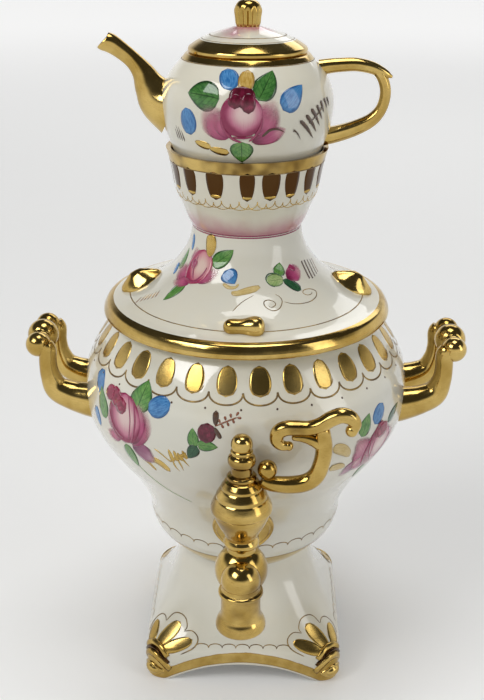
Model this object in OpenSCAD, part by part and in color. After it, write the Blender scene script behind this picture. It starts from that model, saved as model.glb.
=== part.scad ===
// Porcelain samovar set: an urn with a tap, two handles and a lid that ends in a crown,
// and a small teapot that stands in the crown. Millimetres, +Z up, the tap points along -Y.
// The origin is on the table, under the axis of the urn.

/* [Pedestal] */
// Half the width of the square foot across its flat sides
foot_half = 67; // [62:0.5:72]
// Height of the pedestal, up to the bottom of the urn
pedestal_h = 80; // [74:1:86]
// Height of the arch between two feet
arch_h = 14.5; // [8:0.5:16]
// Half the span of the arch, from its middle to a foot
arch_span = 51; // [48:0.5:54]

/* [Urn] */
// Largest radius of the urn
urn_r = 108; // [104:0.5:112]
// Height of the urn, from the pedestal to its mouth
urn_h = 174; // [168:1:180]
// Thickness of the porcelain wall of the urn, lid and pedestal
wall = 5; // [4:0.25:6]
// Radius of the mouth of the urn
mouth_r = 76; // [73:0.5:78]

/* [Side handles] */
// Distance from the urn's axis to the grip
grip_x = 137; // [134:0.5:142]
// Height of the grip above the table
grip_z = 232; // [228:0.5:236]
// Distance of each arm from the middle plane
arm_y = 20; // [18.5:0.5:22]
// Radius of the middle ball of the grip
grip_mid_r = 10.3; // [9:0.1:11]
// Radius of the end balls of the grip
grip_end_r = 8.2; // [7.6:0.1:9]

/* [Tap] */
// Distance of the plug's axis in front of the urn's axis
tap_y = 120; // [119.5:0.5:123]
// Height of the tap's barrel above the table
tap_z = 128; // [126:0.5:130]
// Radius of the tap's plug
plug_r = 5.5; // [5:0.1:6]
// Radial clearance of the plug in its bore
plug_gap = 0.06; // [0.02:0.01:0.1]
// Radius of the water passage through the barrel and the plug
passage_r = 3.4; // [3:0.1:4]
// Radius of the bore of the spout
outlet_r = 8.5; // [7.5:0.1:9]
// Height of the spout's outlet above the table
outlet_z = 94; // [90:0.5:98]
// Radius of the threaded shank through the urn's wall
shank_r = 8; // [7:0.1:9]

/* [Lid and crown] */
// Radius of the lid's rim
lid_r = 94; // [92:0.5:96]
// Height of the lid, from the urn's mouth to the crown
lid_h = 58; // [55:0.5:61]
// Radius of the lid's neck, under the crown
neck_r = 35; // [33:0.5:36]
// Height of the crown
crown_h = 49.6; // [47:0.2:52]
// Radius of the crown's rim
crown_r = 51.1; // [50.6:0.1:53]
// Distance of the two bumps on the lid from its axis
bump_at = 75; // [73:0.5:77]

/* [Teapot] */
// Largest radius of the teapot
pot_r = 53.3; // [51:0.1:54]
// Height of the teapot's body, from its foot to its mouth
pot_h = 100.8; // [98:0.2:104]
// Wall thickness of the teapot and of the crown
thin_wall = 3; // [2.5:0.1:3.2]
// Radius of the teapot's lid
pot_lid_r = 36.7; // [36:0.1:37.5]
// Radius of the knob on the teapot's lid
knob_r = 9; // [8:0.1:10]

/* [Hidden] */

porcelain = [0.93, 0.93, 0.89];
gold = [0.83, 0.62, 0.22];
steel = [0.72, 0.72, 0.74];
rubber = [0.15, 0.15, 0.16];

$fn = 96;

mouth_z = pedestal_h + urn_h;
crown_z = mouth_z + lid_h;
pot_z = crown_z + 6;
pot_top = pot_z + pot_h;
// Heights at which the cast shells are luted together
skirt_top = pedestal_h * 0.338;
stem_top = pedestal_h + urn_h * 0.19;
belly_top = pedestal_h + urn_h * 0.68;
slope_top = mouth_z + lid_h * 0.4;
bowl_top = pot_z + pot_h * 0.72;
far = 400;

// ---- curves ----

// Point at t between b and c on a smooth curve through a, b, c and d
function between(a, b, c, d, t) = 0.5 * (2 * b + (c - a) * t
    + (2 * a - 5 * b + 4 * c - d) * t * t + (3 * b - a - 3 * c + d) * t * t * t);

// Smooth curve through the points of p, in n steps from each point to the next
function smooth(p, n) = let (last = len(p) - 1) [
    for (i = [0 : last - 1]) for (k = [0 : n - 1])
        between(p[max(i - 1, 0)], p[i], p[i + 1], p[min(i + 2, last)], k / n),
    p[last]];

function direction(p, i) = let (d = p[min(i + 1, len(p) - 1)] - p[max(i - 1, 0)]) d / norm(d);

// The outline p, which runs upwards, moved towards the axis by w
function inward(p, w) = [for (i = [0 : len(p) - 1]) let (d = direction(p, i)) p[i] + w * [-d[1], d[0]]];

function above(p, z) = [for (q = p) if (q[1] > z) q];
function below(p, z) = [for (q = p) if (q[1] < z) q];
function backwards(p) = [for (i = [len(p) - 1 : -1 : 0]) p[i]];

// Outline whose points are fractions of a radius r and a height h above z
function sized(p, r, h, z) = [for (q = p) [q[0] * r, z + q[1] * h]];

// ---- outlines, as [radius, height] ----

urn_shape = [[0.426, 0], [0.463, 0.02], [0.528, 0.06], [0.593, 0.112], [0.614, 0.161], [0.627, 0.218],
    [0.673, 0.287], [0.754, 0.374], [0.857, 0.46], [0.943, 0.546], [0.991, 0.622], [1, 0.678],
    [0.997, 0.73], [0.98, 0.805], [0.924, 0.874], [0.859, 0.937], [0.796, 0.985]];
urn_out = smooth(sized(urn_shape, urn_r, urn_h, pedestal_h), 3);
urn_floor = pedestal_h + wall;
urn_in = above(inward(urn_out, wall), urn_floor);
urn_profile = concat([[0, pedestal_h]], urn_out, [[mouth_r + 9, mouth_z], [mouth_r, mouth_z],
    [mouth_r, mouth_z - 5]], backwards(urn_in), [[urn_in[0][0] - 1.5, urn_floor], [0, urn_floor]]);

lid_shape = [[0.856, 0.178], [0.77, 0.23], [0.685, 0.303], [0.608, 0.392], [0.532, 0.488],
    [0.474, 0.595], [0.42, 0.724], [0.39, 0.845], [0.375, 0.966]];
lid_slope = smooth(sized(lid_shape, lid_r, lid_h, mouth_z), 3);
lid_out = concat([[lid_r - 1, mouth_z], [lid_r, mouth_z + 1.2], [lid_r - 0.3, mouth_z + 3.5],
    [lid_r - 1.6, mouth_z + 6.2], [lid_r - 3.2, mouth_z + 8.2], [lid_r - 6.5, mouth_z + 9.4]],
    lid_slope, [[neck_r, crown_z]]);
flange_r = mouth_r - 1;
lid_in = inward(lid_slope, wall);

crown_shape = [[0.685, 0], [0.738, 0.093], [0.816, 0.297], [0.892, 0.496], [0.943, 0.778], [1, 1]];
crown_out = smooth(sized(crown_shape, crown_r, crown_h, crown_z), 4);
crown_in = above(inward(crown_out, thin_wall), pot_z + 1);
vent_r = 16;

pot_shape = [[0.563, 0.045], [0.67, 0.129], [0.76, 0.228], [0.822, 0.328], [0.873, 0.417], [0.925, 0.491],
    [0.972, 0.57], [0.998, 0.665], [1, 0.724], [0.987, 0.779], [0.949, 0.838], [0.891, 0.889],
    [0.826, 0.93], [0.756, 0.97]];
pot_out = smooth(sized(pot_shape, pot_r, pot_h, pot_z), 3);
pot_in = inward(pot_out, thin_wall);
pot_foot_r = 26;

pot_lid_shape = [[0.981, 0.24], [0.87, 0.42], [0.708, 0.62], [0.52, 0.79], [0.33, 0.92], [0.22, 1]];
pot_lid_h = 15.2;
pot_lid_slope = smooth(sized(pot_lid_shape, pot_lid_r, pot_lid_h, pot_top), 3);
pot_lid_in = inward(pot_lid_slope, thin_wall);
knob_z = pot_top + pot_lid_h;

cup_z = tap_z + 41;
cap_z = cup_z + 0.2;
cap_top = tap_z + 66;
plug_foot = tap_z - 12;

// ---- shared shapes ----

module turned(profile) { rotate_extrude() polygon(profile); }

// What lies between two heights
module band(from, to) {
    intersection() {
        children();
        translate([-far / 2, -far / 2, from]) cube([far, far, to - from]);
    }
}

module urn_block() { turned(concat([[0, pedestal_h]], urn_out, [[0, mouth_z]])); }

module urn_hollow() { turned(concat([[0, urn_floor]], urn_in, [[0, mouth_z]])); }

// Bar along the tap's barrel, from y = -from to y = -to
module along_barrel(r, from, to) {
    translate([0, -from, tap_z]) rotate([90, 0, 0]) cylinder(h = to - from, r = r);
}

// Tube in the plane y = y0 through path, a list of [x, z, radius]
module tube(path, y0, sides = 16) {
    line = [for (q = path) [q[0], q[1]]];
    rings = len(path);
    points = [for (i = [0 : rings - 1]) let (d = direction(line, i), q = path[i])
        for (k = [0 : sides - 1]) let (a = 360 * k / sides)
            [q[0] - d[1] * q[2] * cos(a), y0 + q[2] * sin(a), q[1] + d[0] * q[2] * cos(a)]];
    sheath = [for (i = [0 : rings - 2]) for (k = [0 : sides - 1]) let (m = (k + 1) % sides)
        [i * sides + m, (i + 1) * sides + m, (i + 1) * sides + k, i * sides + k]];
    first = [for (k = [0 : sides - 1]) k];
    last = [for (k = [sides - 1 : -1 : 0]) (rings - 1) * sides + k];
    polyhedron(points, concat([first, last], sheath));
}

// ---- pedestal ----

// Rings of the pedestal as [height, half width, squareness]: 2 is a circle, 12 is nearly a square
pedestal_rings = [[0, 1, 12], [0.15, 1.022, 9], [0.275, 1.015, 7], [0.338, 0.985, 5.5],
    [0.425, 0.925, 4.2], [0.55, 0.85, 3.2], [0.7, 0.776, 2.6], [0.86, 0.718, 2.2], [1, 0.687, 2]];

function ring_radius(a, n) = pow(pow(abs(cos(a)), n) + pow(abs(sin(a)), n), -1 / n);

function ring_points(r, shrink, sides) = [for (k = [0 : sides - 1])
    let (a = 360 * (k + 0.5) / sides, d = (r[1] * foot_half - shrink) * ring_radius(a, r[2]))
        [d * cos(a), d * sin(a), r[0] * pedestal_h]];

// Solid through the pedestal's rings, smaller by shrink
module pedestal_block(rings, shrink, sides) {
    count = len(rings);
    points = [for (r = rings) each ring_points(r, shrink, sides)];
    sheath = [for (i = [0 : count - 2]) for (k = [0 : sides - 1]) let (m = (k + 1) % sides)
        [i * sides + k, (i + 1) * sides + k, (i + 1) * sides + m, i * sides + m]];
    bottom = [for (k = [0 : sides - 1]) k];
    top = [for (k = [sides - 1 : -1 : 0]) (count - 1) * sides + k];
    polyhedron(points, concat([bottom, top], sheath));
}

module pedestal_shell() {
    arch_r = (arch_span * arch_span + arch_h * arch_h) / (2 * arch_h);
    hollow = smooth(concat([for (i = [0, 2, 4, 6]) pedestal_rings[i] - (i == 0 ? [0.01, 0, 0] : [0, 0, 0])],
        [[1 - 6 / pedestal_h, 0.702, 2.1]]), 2);
    difference() {
        pedestal_block(smooth(pedestal_rings, 2), 0, 64);
        pedestal_block(hollow, wall + 0.5, 32);
        for (turn = [0, 90]) rotate([0, 0, turn]) translate([0, far / 2, arch_h - arch_r])
            rotate([90, 0, 0]) cylinder(h = far, r = arch_r);
    }
}

module pedestal_skirt() { color(porcelain) band(-1, skirt_top) pedestal_shell(); }

module pedestal_shoulder() { color(porcelain) band(skirt_top, pedestal_h + 1) pedestal_shell(); }

// Rounded boss at the outer corner of each foot
module foot_bosses() {
    boss_r = 5.5;
    corner = foot_half * 1.02 * ring_radius(45, 9) - 3.2;
    color(gold) difference() {
        for (turn = [45 : 90 : 315]) rotate([0, 0, turn]) translate([corner, 0, 8.5]) sphere(r = boss_r);
        pedestal_block(smooth(pedestal_rings, 2), 0, 64);
    }
}

// ---- urn ----

module urn_stem() { color(porcelain) band(pedestal_h - 1, stem_top) turned(urn_profile); }

module urn_body() {
    color(porcelain) difference() {
        band(stem_top, belly_top) turned(urn_profile);
        along_barrel(shank_r + 0.2, 40, 100);
    }
}

module urn_shoulder() { color(porcelain) band(belly_top, mouth_z + 1) turned(urn_profile); }

arm_path = smooth([[96, 192, 12], [105, 193.5, 11.4], [117, 196.5, 9.5], [126, 201.5, 8.3],
    [130, 211, 6.5], [131, 220, 5.8], [grip_x - 6.3, grip_z - 3, 5.8], [grip_x - 4.5, grip_z + 1, 5]], 3);

module grip_block() {
    translate([grip_x, 0, grip_z]) {
        sphere(r = grip_mid_r);
        for (side = [-1, 1]) translate([0, side * 18, 0]) sphere(r = grip_end_r);
        rotate([90, 0, 0]) cylinder(h = 30, r = 5.5, center = true);
    }
}

module arm(side) {
    difference() {
        tube(arm_path, side * arm_y);
        urn_block();
        grip_block();
    }
}

module left_handle_front_arm() { color(gold) mirror([1, 0, 0]) arm(-1); }
module left_handle_rear_arm() { color(gold) mirror([1, 0, 0]) arm(1); }
module left_handle_grip() { color(gold) mirror([1, 0, 0]) grip_block(); }
module right_handle_front_arm() { color(gold) arm(-1); }
module right_handle_rear_arm() { color(gold) arm(1); }
module right_handle_grip() { color(gold) grip_block(); }

// ---- tap ----

barrel_r = 10.5;
rosette_r = 20;
rosette_t = 3.5;

// Round plate that follows the urn's wall around the barrel
module tap_rosette() {
    color(gold) difference() {
        intersection() {
            turned(concat([[0, pedestal_h - 5]], inward(urn_out, -rosette_t), [[0, mouth_z + 5]]));
            along_barrel(rosette_r, 50, 100);
        }
        urn_block();
        along_barrel(barrel_r + 0.1, 40, 110);
    }
}

module tap_body() {
    spout_y = tap_y + 12;
    bore_top = plug_foot - 3;
    elbow_r = 5;
    color(gold) difference() {
        union() {
            along_barrel(shank_r, 42, 80);
            difference() {
                along_barrel(barrel_r, 60, tap_y);
                urn_block();
            }
            translate([0, -tap_y, tap_z]) {
                rotate([90, 0, 0]) sphere(r = 16.2);
                turned([[0, 0], [9, 0], [8.4, 17], [10.3, 18], [10.8, 19.5], [10.3, 21], [9, 22.5],
                    [10.6, 26], [13.6, 31.5], [16.4, 37.5], [17.4, 41], [0, 41]]);
            }
            along_barrel(11.2, tap_y, spout_y);
            translate([0, -spout_y, tap_z]) sphere(r = 11.9);
            translate([0, -spout_y, outlet_z]) turned([[0, 0], [13.6, 0], [15, 1.5], [15.2, 4], [14.2, 7],
                [12.6, 10], [12, 14], [12, 24.5], [13.4, 25.3], [13.6, 26.3], [13.2, 27.3], [11.4, 28.5],
                [11.4, tap_z - outlet_z], [0, tap_z - outlet_z]]);
        }
        translate([0, -tap_y, plug_foot - 0.5]) cylinder(h = 100, r = plug_r + plug_gap);
        along_barrel(passage_r, 40, spout_y);
        translate([0, -spout_y, tap_z]) sphere(r = elbow_r + 0.6);
        translate([0, -spout_y, outlet_z + 2]) cylinder(h = tap_z - outlet_z - 2, r = elbow_r);
        translate([0, -spout_y, outlet_z - 1]) cylinder(h = bore_top - outlet_z + 1, r = outlet_r);
    }
}

washer_face = 52;
nut_t = 6;

// Wedge between the sloping wall of the urn and the flat nut
module tap_seal_washer() {
    color(rubber) difference() {
        intersection() {
            along_barrel(13, washer_face, 90);
            urn_hollow();
        }
        along_barrel(shank_r, 40, 100);
    }
}

module tap_lock_nut() {
    color(steel) difference() {
        translate([0, -washer_face + nut_t, tap_z]) rotate([90, 0, 0]) cylinder(h = nut_t, r = 13, $fn = 6);
        along_barrel(shank_r, 40, 100);
    }
}

// Cone with three steps over the tap's cup
cap_profile = [[0, 0], [17.6, 0], [18.4, 1], [18.4, 3.2], [17.6, 5.5], [15.9, 8.8], [15.3, 9.6], [15, 11.5],
    [12.9, 15], [12.3, 15.8], [12, 17.2], [10, 20], [8.4, 20.8], [8.9, 21.8], [9, 22.8], [8.4, 23.8],
    [6.6, 24.8], [0, 24.8]];

module plug_block() {
    translate([0, -tap_y, cap_z]) turned(cap_profile);
    translate([0, -tap_y, plug_foot]) cylinder(h = cap_z - plug_foot + 1, r = plug_r);
    translate([0, -tap_y, cap_top - 2]) cylinder(h = 12, r = 2.5);
}

module tap_plug() {
    color(gold) difference() {
        plug_block();
        translate([-20, -tap_y, tap_z]) rotate([0, 90, 0]) cylinder(h = 40, r = passage_r);
    }
}

module finial_block() {
    translate([0, -tap_y, cap_top]) turned([[0, 0], [6.6, 0], [6.4, 4.5], [7.8, 6.2], [8.4, 8.5], [7.9, 11],
        [6, 12.6], [5.7, 13.4], [6.1, 15], [6.5, 18], [5.9, 21.2], [4.2, 23.6], [2, 24.8], [0, 25]]);
}

module tap_finial() {
    color(gold) difference() {
        finial_block();
        translate([0, -tap_y, cap_top - 1]) cylinder(h = 11, r = 2.5);
    }
}

// The key's scrolls as [distance from the plug's axis, height above the barrel, radius]
scroll_arm = smooth([[12, 61.5, 3.6], [17, 59.5, 4.6], [27.5, 58.6, 5.2], [37.5, 60.3, 5.3],
    [43.8, 65.6, 5.2], [47, 76, 5], [47.5, 85, 5], [46.5, 94, 4.4]], 3);
scroll_tongue = smooth([[46, 85, 4], [42, 87.6, 3.6], [36.5, 89.4, 2.8], [30.5, 89.6, 1.8]], 2);
scroll_bar = smooth([[27, 84, 2.6], [22.8, 84.6, 3.3], [19.9, 88, 4], [20.8, 93, 4.5], [25, 95.8, 4.6],
    [31.5, 96.2, 4.5], [38.5, 96.2, 4.4], [45, 98.2, 4.6], [51, 102.2, 4.7], [57, 104.6, 4.7],
    [62.4, 103.2, 4.4], [65.3, 99, 3.7], [64.2, 95, 3.2]], 2);
scroll_balls = [[15, 68.6, 5.9], [27.2, 84.2, 2.9], [63.2, 94.6, 3.7]];

module scroll_block() {
    translate([0, -tap_y, tap_z]) {
        tube(scroll_arm, 0, 14);
        tube(scroll_tongue, 0, 12);
        tube(scroll_bar, 0, 14);
        for (b = scroll_balls) translate([b[0], 0, b[1]]) sphere(r = b[2]);
    }
}

module tap_scroll_handle() {
    color(gold) difference() {
        scroll_block();
        plug_block();
        finial_block();
    }
}

// ---- lid and crown ----

module lid_block() { turned(concat([[0, mouth_z]], lid_out, [[0, crown_z]])); }

lid_profile = concat(lid_out, [[neck_r - 4.5, crown_z]], backwards(lid_in), [[flange_r - 4, mouth_z + 4],
    [flange_r - 4, mouth_z - 9], [flange_r - 1, mouth_z - 10], [flange_r, mouth_z - 9], [flange_r, mouth_z]]);

module lid_dome() { color(porcelain) band(mouth_z - 12, slope_top) turned(lid_profile); }

module lid_neck() { color(porcelain) band(slope_top, crown_z + 1) turned(lid_profile); }

// Pear-shaped bumps at the front and back, lying across the lid and luted to it
module lid_bumps() {
    pear = [[0, -12.5], [2.6, -12], [4.4, -10], [4.9, -7.5], [4.9, -3], [5.7, 1], [6.6, 5], [6.3, 8.6],
        [4.4, 11.4], [2.2, 12.3], [0, 12.5]];
    color(gold) difference() {
        for (turn = [0, 180]) rotate([0, 0, turn]) translate([0, -bump_at, mouth_z + 14.4])
            rotate([0, 90, 0]) turned(pear);
        lid_block();
    }
}

// Balls that the hull of a lug goes round, as [distance from the axis, sideways, height above the mouth, radius]
lug_balls = [[82, 0, 10.5, 2], [78, 5, 12, 2.5], [78, -5, 12, 2.5], [72, 0, 21.3, 4.6], [66, 0, 22.4, 3.6],
    [56, 0, 23.6, 1.8], [71, 8, 13, 3], [71, -8, 13, 3], [62, 7, 18, 2.5], [62, -7, 18, 2.5]];

// Wedge-shaped lugs at the left and right, to lift the lid by
module lid_lugs() {
    color(gold) difference() {
        for (turn = [0, 180]) rotate([0, 0, turn]) hull()
            for (b = lug_balls) translate([b[0], b[1], mouth_z + b[2]]) sphere(r = b[3], $fn = 24);
        lid_block();
    }
}

module crown_cup() {
    color(gold) turned(concat([[vent_r, crown_z]], crown_out, [[crown_r - thin_wall, crown_z + crown_h]],
        backwards(crown_in), [[crown_in[0][0] - 2, pot_z], [vent_r, pot_z]]));
}

// ---- teapot ----

module pot_block() {
    turned(concat([[0, pot_z], [pot_foot_r, pot_z], [pot_foot_r + 0.5, pot_z + 3]], pot_out,
        [[0, pot_top]]));
}

module pot_shell() {
    difference() {
        turned(concat([[0, pot_z + 2.5], [pot_foot_r - 4, pot_z + 2.5], [pot_foot_r - 3.5, pot_z],
            [pot_foot_r, pot_z], [pot_foot_r + 0.5, pot_z + 3]], pot_out,
            [[38.6, pot_top - 0.8], [37.6, pot_top], [33, pot_top], [33, pot_top - 4]],
            backwards(above(pot_in, pot_z + 6)), [[pot_in[0][0] - 3, pot_z + 5.6], [0, pot_z + 5.6]]));
        for (a = [0 : 60 : 300]) translate([-far / 4, 5 * cos(a), pot_z + 72 + 5 * sin(a)])
            rotate([0, 90, 0]) cylinder(h = far / 4 - 30, r = 1.6);
        translate([-far / 4, 0, pot_z + 72]) rotate([0, 90, 0]) cylinder(h = far / 4 - 30, r = 1.6);
    }
}

module teapot_body() { color(porcelain) band(pot_z - 1, bowl_top) pot_shell(); }

module teapot_shoulder() { color(porcelain) band(bowl_top, pot_top + 1) pot_shell(); }

spout_path = smooth([[-42, 383, 19], [-54, 389.5, 14.2], [-60, 397.6, 10.2], [-64.6, 406.4, 6.9],
    [-70.4, 413.4, 5.3], [-79, 420.2, 5.4], [-89.2, 424.4, 5.9]], 3);

module teapot_spout() {
    color(gold) difference() {
        tube(spout_path, 0, 18);
        tube([for (q = spout_path) [q[0], q[1], max(q[2] - 2.4, 2.9)]], 0, 12);
        pot_block();
        translate([-95.6, 0, 427.9]) rotate([0, 33, 0]) cube([10, 20, 20], center = true);
    }
}

handle_path = smooth([[44, 411, 3.4], [56, 412.4, 3.1], [66, 412.6, 3.1], [76.5, 409.8, 3.3], [83, 404.2, 3.6],
    [85, 395, 3.5], [83, 385.5, 3.6], [77, 378.4, 4.2], [67, 373.2, 4.8], [56, 369.6, 5.2],
    [46, 367.4, 5.6]], 3);

module teapot_handle() {
    color(gold) difference() {
        union() {
            tube(handle_path, 0, 16);
            translate([84.6, 0, 407]) sphere(r = 2.6);
        }
        pot_block();
    }
}

module teapot_lid() {
    color(porcelain) turned(concat([[0, knob_z]], backwards(pot_lid_slope), [[pot_lid_r, pot_top + 2.4],
        [pot_lid_r, pot_top + 1], [pot_lid_r - 1, pot_top], [32, pot_top], [32, pot_top - 7.5],
        [31.4, pot_top - 8], [29, pot_top - 8], [29, pot_top + 1]], below(pot_lid_in, knob_z - 3.2),
        [[0, knob_z - 3]]));
}

// Knob with shallow ribs around it
module teapot_lid_knob() {
    ribs = 10;
    color(gold) translate([0, 0, knob_z]) union() {
        turned([[0, 0], [6.4, 0], [7.2, 1.5], [7.6, 5], [8.1, 9], [7.6, 12], [5.6, 14.4], [2.8, 15.5],
            [0, 15.8]]);
        for (k = [0 : ribs - 1]) rotate([0, 0, 360 * k / ribs]) translate([knob_r - 1.7, 0, 2])
            cylinder(h = 8.5, r = 1.7, $fn = 24);
    }
}

pedestal_skirt();
pedestal_shoulder();
foot_bosses();
urn_stem();
urn_body();
urn_shoulder();
left_handle_front_arm();
left_handle_rear_arm();
left_handle_grip();
right_handle_front_arm();
right_handle_rear_arm();
right_handle_grip();
tap_rosette();
tap_body();
tap_seal_washer();
tap_lock_nut();
tap_plug();
tap_finial();
tap_scroll_handle();
lid_dome();
lid_neck();
lid_bumps();
lid_lugs();
crown_cup();
teapot_body();
teapot_shoulder();
teapot_spout();
teapot_handle();
teapot_lid();
teapot_lid_knob();
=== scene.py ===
import math
from bisect import bisect_right

import bmesh
import bpy
from mathutils import Matrix, Vector
from mathutils.bvhtree import BVHTree


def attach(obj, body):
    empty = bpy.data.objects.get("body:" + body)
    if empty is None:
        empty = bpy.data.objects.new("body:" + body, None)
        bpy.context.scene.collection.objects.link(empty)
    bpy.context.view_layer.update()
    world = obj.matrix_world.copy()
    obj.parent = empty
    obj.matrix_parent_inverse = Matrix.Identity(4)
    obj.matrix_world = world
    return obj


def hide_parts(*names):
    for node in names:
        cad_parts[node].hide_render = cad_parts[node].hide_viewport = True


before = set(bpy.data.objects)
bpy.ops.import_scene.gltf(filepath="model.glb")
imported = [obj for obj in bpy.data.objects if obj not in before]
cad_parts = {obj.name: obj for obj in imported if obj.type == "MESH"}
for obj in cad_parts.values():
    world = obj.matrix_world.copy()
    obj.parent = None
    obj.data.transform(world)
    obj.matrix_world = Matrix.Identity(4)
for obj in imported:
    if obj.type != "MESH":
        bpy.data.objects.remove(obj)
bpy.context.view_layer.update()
scene = bpy.context.scene
mm = 0.001
print("frame loaded")


# curves and outlines, as (radius, height) in millimetres

def between(a, b, c, d, t):
    return tuple(0.5 * (2 * q + (r - p) * t + (2 * p - 5 * q + 4 * r - s) * t * t
                        + (3 * q - p - 3 * r + s) * t ** 3) for p, q, r, s in zip(a, b, c, d))


def smoothLine(points, steps):  # smooth curve through the points
    line, last = [], len(points) - 1
    for i in range(last):
        near = points[max(i - 1, 0)], points[i], points[i + 1], points[min(i + 2, last)]
        line += [between(*near, k / steps) for k in range(steps)]
    return line + [tuple(points[last])]


def sized(shape, radius, height, base):
    return [(r * radius, base + z * height) for r, z in shape]


def inward(line, wall):  # an outline that runs upwards, moved towards the axis
    moved = []
    for i, (r, z) in enumerate(line):
        (r0, z0), (r1, z1) = line[max(i - 1, 0)], line[min(i + 1, len(line) - 1)]
        span = math.hypot(r1 - r0, z1 - z0)
        moved.append((r - wall * (z1 - z0) / span, z + wall * (r1 - r0) / span))
    return moved


def softened(line, reach, steps=3):  # rounds the corners of an outline
    soft = [tuple(line[0])]
    for a, b, c in zip(line, line[1:], line[2:]):
        a, b, c = Vector(a), Vector(b), Vector(c)
        before, after = a - b, c - b
        if before.length < 1e-6 or after.length < 1e-6 or before.angle(after) > math.radians(160):
            soft.append(tuple(b))
            continue
        cut = min(reach, 0.45 * before.length, 0.45 * after.length)
        first, last = b + before.normalized() * cut, b + after.normalized() * cut
        for k in range(steps + 1):
            t = k / steps
            soft.append(tuple((1 - t) ** 2 * first + 2 * t * (1 - t) * b + t * t * last))
    return soft + [tuple(line[-1])]


# meshes

def spinInto(mesh, outline, steps, place=None, ring=False):
    # turns an outline round the upright axis; ring closes an outline that stays off the axis
    verts = [mesh.verts.new((r * mm, 0, z * mm)) for r, z in outline]
    pairs = list(zip(verts, verts[1:])) + ([(verts[-1], verts[0])] if ring else [])
    edges = [mesh.edges.new(pair) for pair in pairs]
    known = set(mesh.faces)
    bmesh.ops.spin(mesh, geom=verts + edges, cent=(0, 0, 0), axis=(0, 0, 1), angle=math.tau,
                   steps=steps, use_merge=True, use_duplicate=False)
    if place is not None:
        fresh = {v for f in mesh.faces if f not in known for v in f.verts}
        bmesh.ops.transform(mesh, matrix=place, verts=list(fresh))


def stationsAlong(path, ends=("flat", "flat")):
    # (x, z, radius) points become (middle, direction, radius), with closed ends
    line = [Vector((x, z)) for x, z, _ in path]
    stations = []
    for i, (x, z, r) in enumerate(path):
        heading = (line[min(i + 1, len(line) - 1)] - line[max(i - 1, 0)]).normalized()
        stations.append((line[i], heading, r))
    for end, kind in zip((0, -1), ends):
        middle, heading, r = stations[end]
        out = -1 if end == 0 else 1
        turns = [18, 36, 54, 72, 89.99] if kind == "round" else [89.99]
        cap = []
        for turn in turns:
            angle = math.radians(turn)
            step = heading * (out * r * math.sin(angle) if kind == "round" else 0)
            cap.append((middle + step, heading, r * math.cos(angle)))
        stations = cap[::-1] + stations if end == 0 else stations + cap
    return stations


def sweepInto(mesh, stations, sides, y=0.0):
    # a tube through the stations, in the plane y, made by extruding a ring
    def placed(station):
        (x, z), heading, r = station
        size = max(r, 1e-4) * mm
        across = Vector((-heading[1], 0, heading[0])) * size
        return Matrix(((across.x, 0, heading[0], x * mm), (0, size, 0, y * mm),
                       (across.z, 0, heading[1], z * mm), (0, 0, 0, 1)))

    verts = bmesh.ops.create_circle(mesh, cap_ends=False, segments=sides, radius=1,
                                    matrix=placed(stations[0]))["verts"]
    edges = list({e for v in verts for e in v.link_edges})
    for last, station in zip(stations, stations[1:]):
        made = bmesh.ops.extrude_edge_only(mesh, edges=edges)["geom"]
        verts = [g for g in made if isinstance(g, bmesh.types.BMVert)]
        fresh = set(verts)
        edges = [g for g in made if isinstance(g, bmesh.types.BMEdge) and set(g.verts) <= fresh]
        bmesh.ops.transform(mesh, matrix=placed(station) @ placed(last).inverted(), verts=verts)


def at(x, y, z):
    return Matrix.Translation(Vector((x, y, z)) * mm)


def ballInto(mesh, centre, radius, rings):
    bmesh.ops.create_uvsphere(mesh, u_segments=2 * rings, v_segments=rings, radius=radius * mm,
                              matrix=at(*centre))


def joined(*meshes):
    whole = meshes[0]
    for extra in meshes[1:]:
        data = bpy.data.meshes.new("part")
        extra.to_mesh(data)
        extra.free()
        whole.from_mesh(data)
        bpy.data.meshes.remove(data)
    return whole


def weld(mesh):
    bmesh.ops.remove_doubles(mesh, verts=mesh.verts, dist=6e-7)


def facedOut(mesh):
    weld(mesh)
    bmesh.ops.recalc_face_normals(mesh, faces=mesh.faces)
    return mesh


def turnedMesh(outline, place=None, steps=96, ring=False):
    mesh = bmesh.new()
    spinInto(mesh, outline, steps, place, ring)
    return mesh


def secondWhere(mesh, test):  # the second material, on faces whose middle passes the test
    for face in mesh.faces:
        spot = face.calc_center_median() / mm
        if test(math.hypot(spot.x, spot.y), spot.z, face.normal):
            face.material_index = 1


def makePiece(name, mesh, body, materials, nodes=(), sharp=38, clean=True):
    if clean:
        weld(mesh)
        bmesh.ops.holes_fill(mesh, edges=[e for e in mesh.edges if e.is_boundary], sides=0)
        bmesh.ops.recalc_face_normals(mesh, faces=mesh.faces)
    data = bpy.data.meshes.new(name)
    mesh.to_mesh(data)
    mesh.free()
    for material in materials:
        data.materials.append(material)
    data.shade_smooth()
    data.set_sharp_from_angle(angle=math.radians(sharp))
    piece = bpy.data.objects.new(name, data)
    scene.collection.objects.link(piece)
    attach(piece, body)
    if nodes:
        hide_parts(*nodes)
    return piece


# shader maths: an output socket that takes part in sums

class Flow:
    def __init__(self, recipe, socket):
        self.recipe, self.socket = recipe, socket

    def maths(self, operation, *values):
        inputs = dict(enumerate(values))
        return self.recipe.node("Math", {"operation": operation}, inputs)

    def __add__(self, other):
        return self.maths("ADD", self, other)

    def __sub__(self, other):
        return self.maths("SUBTRACT", self, other)

    def __rsub__(self, other):
        return self.maths("SUBTRACT", other, self)

    def __mul__(self, other):
        return self.maths("MULTIPLY", self, other)

    def __truediv__(self, other):
        return self.maths("DIVIDE", self, other)

    def __pow__(self, other):
        return self.maths("POWER", self, other)

    def __abs__(self):
        return self.maths("ABSOLUTE", self)

    __radd__, __rmul__ = __add__, __mul__


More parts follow.
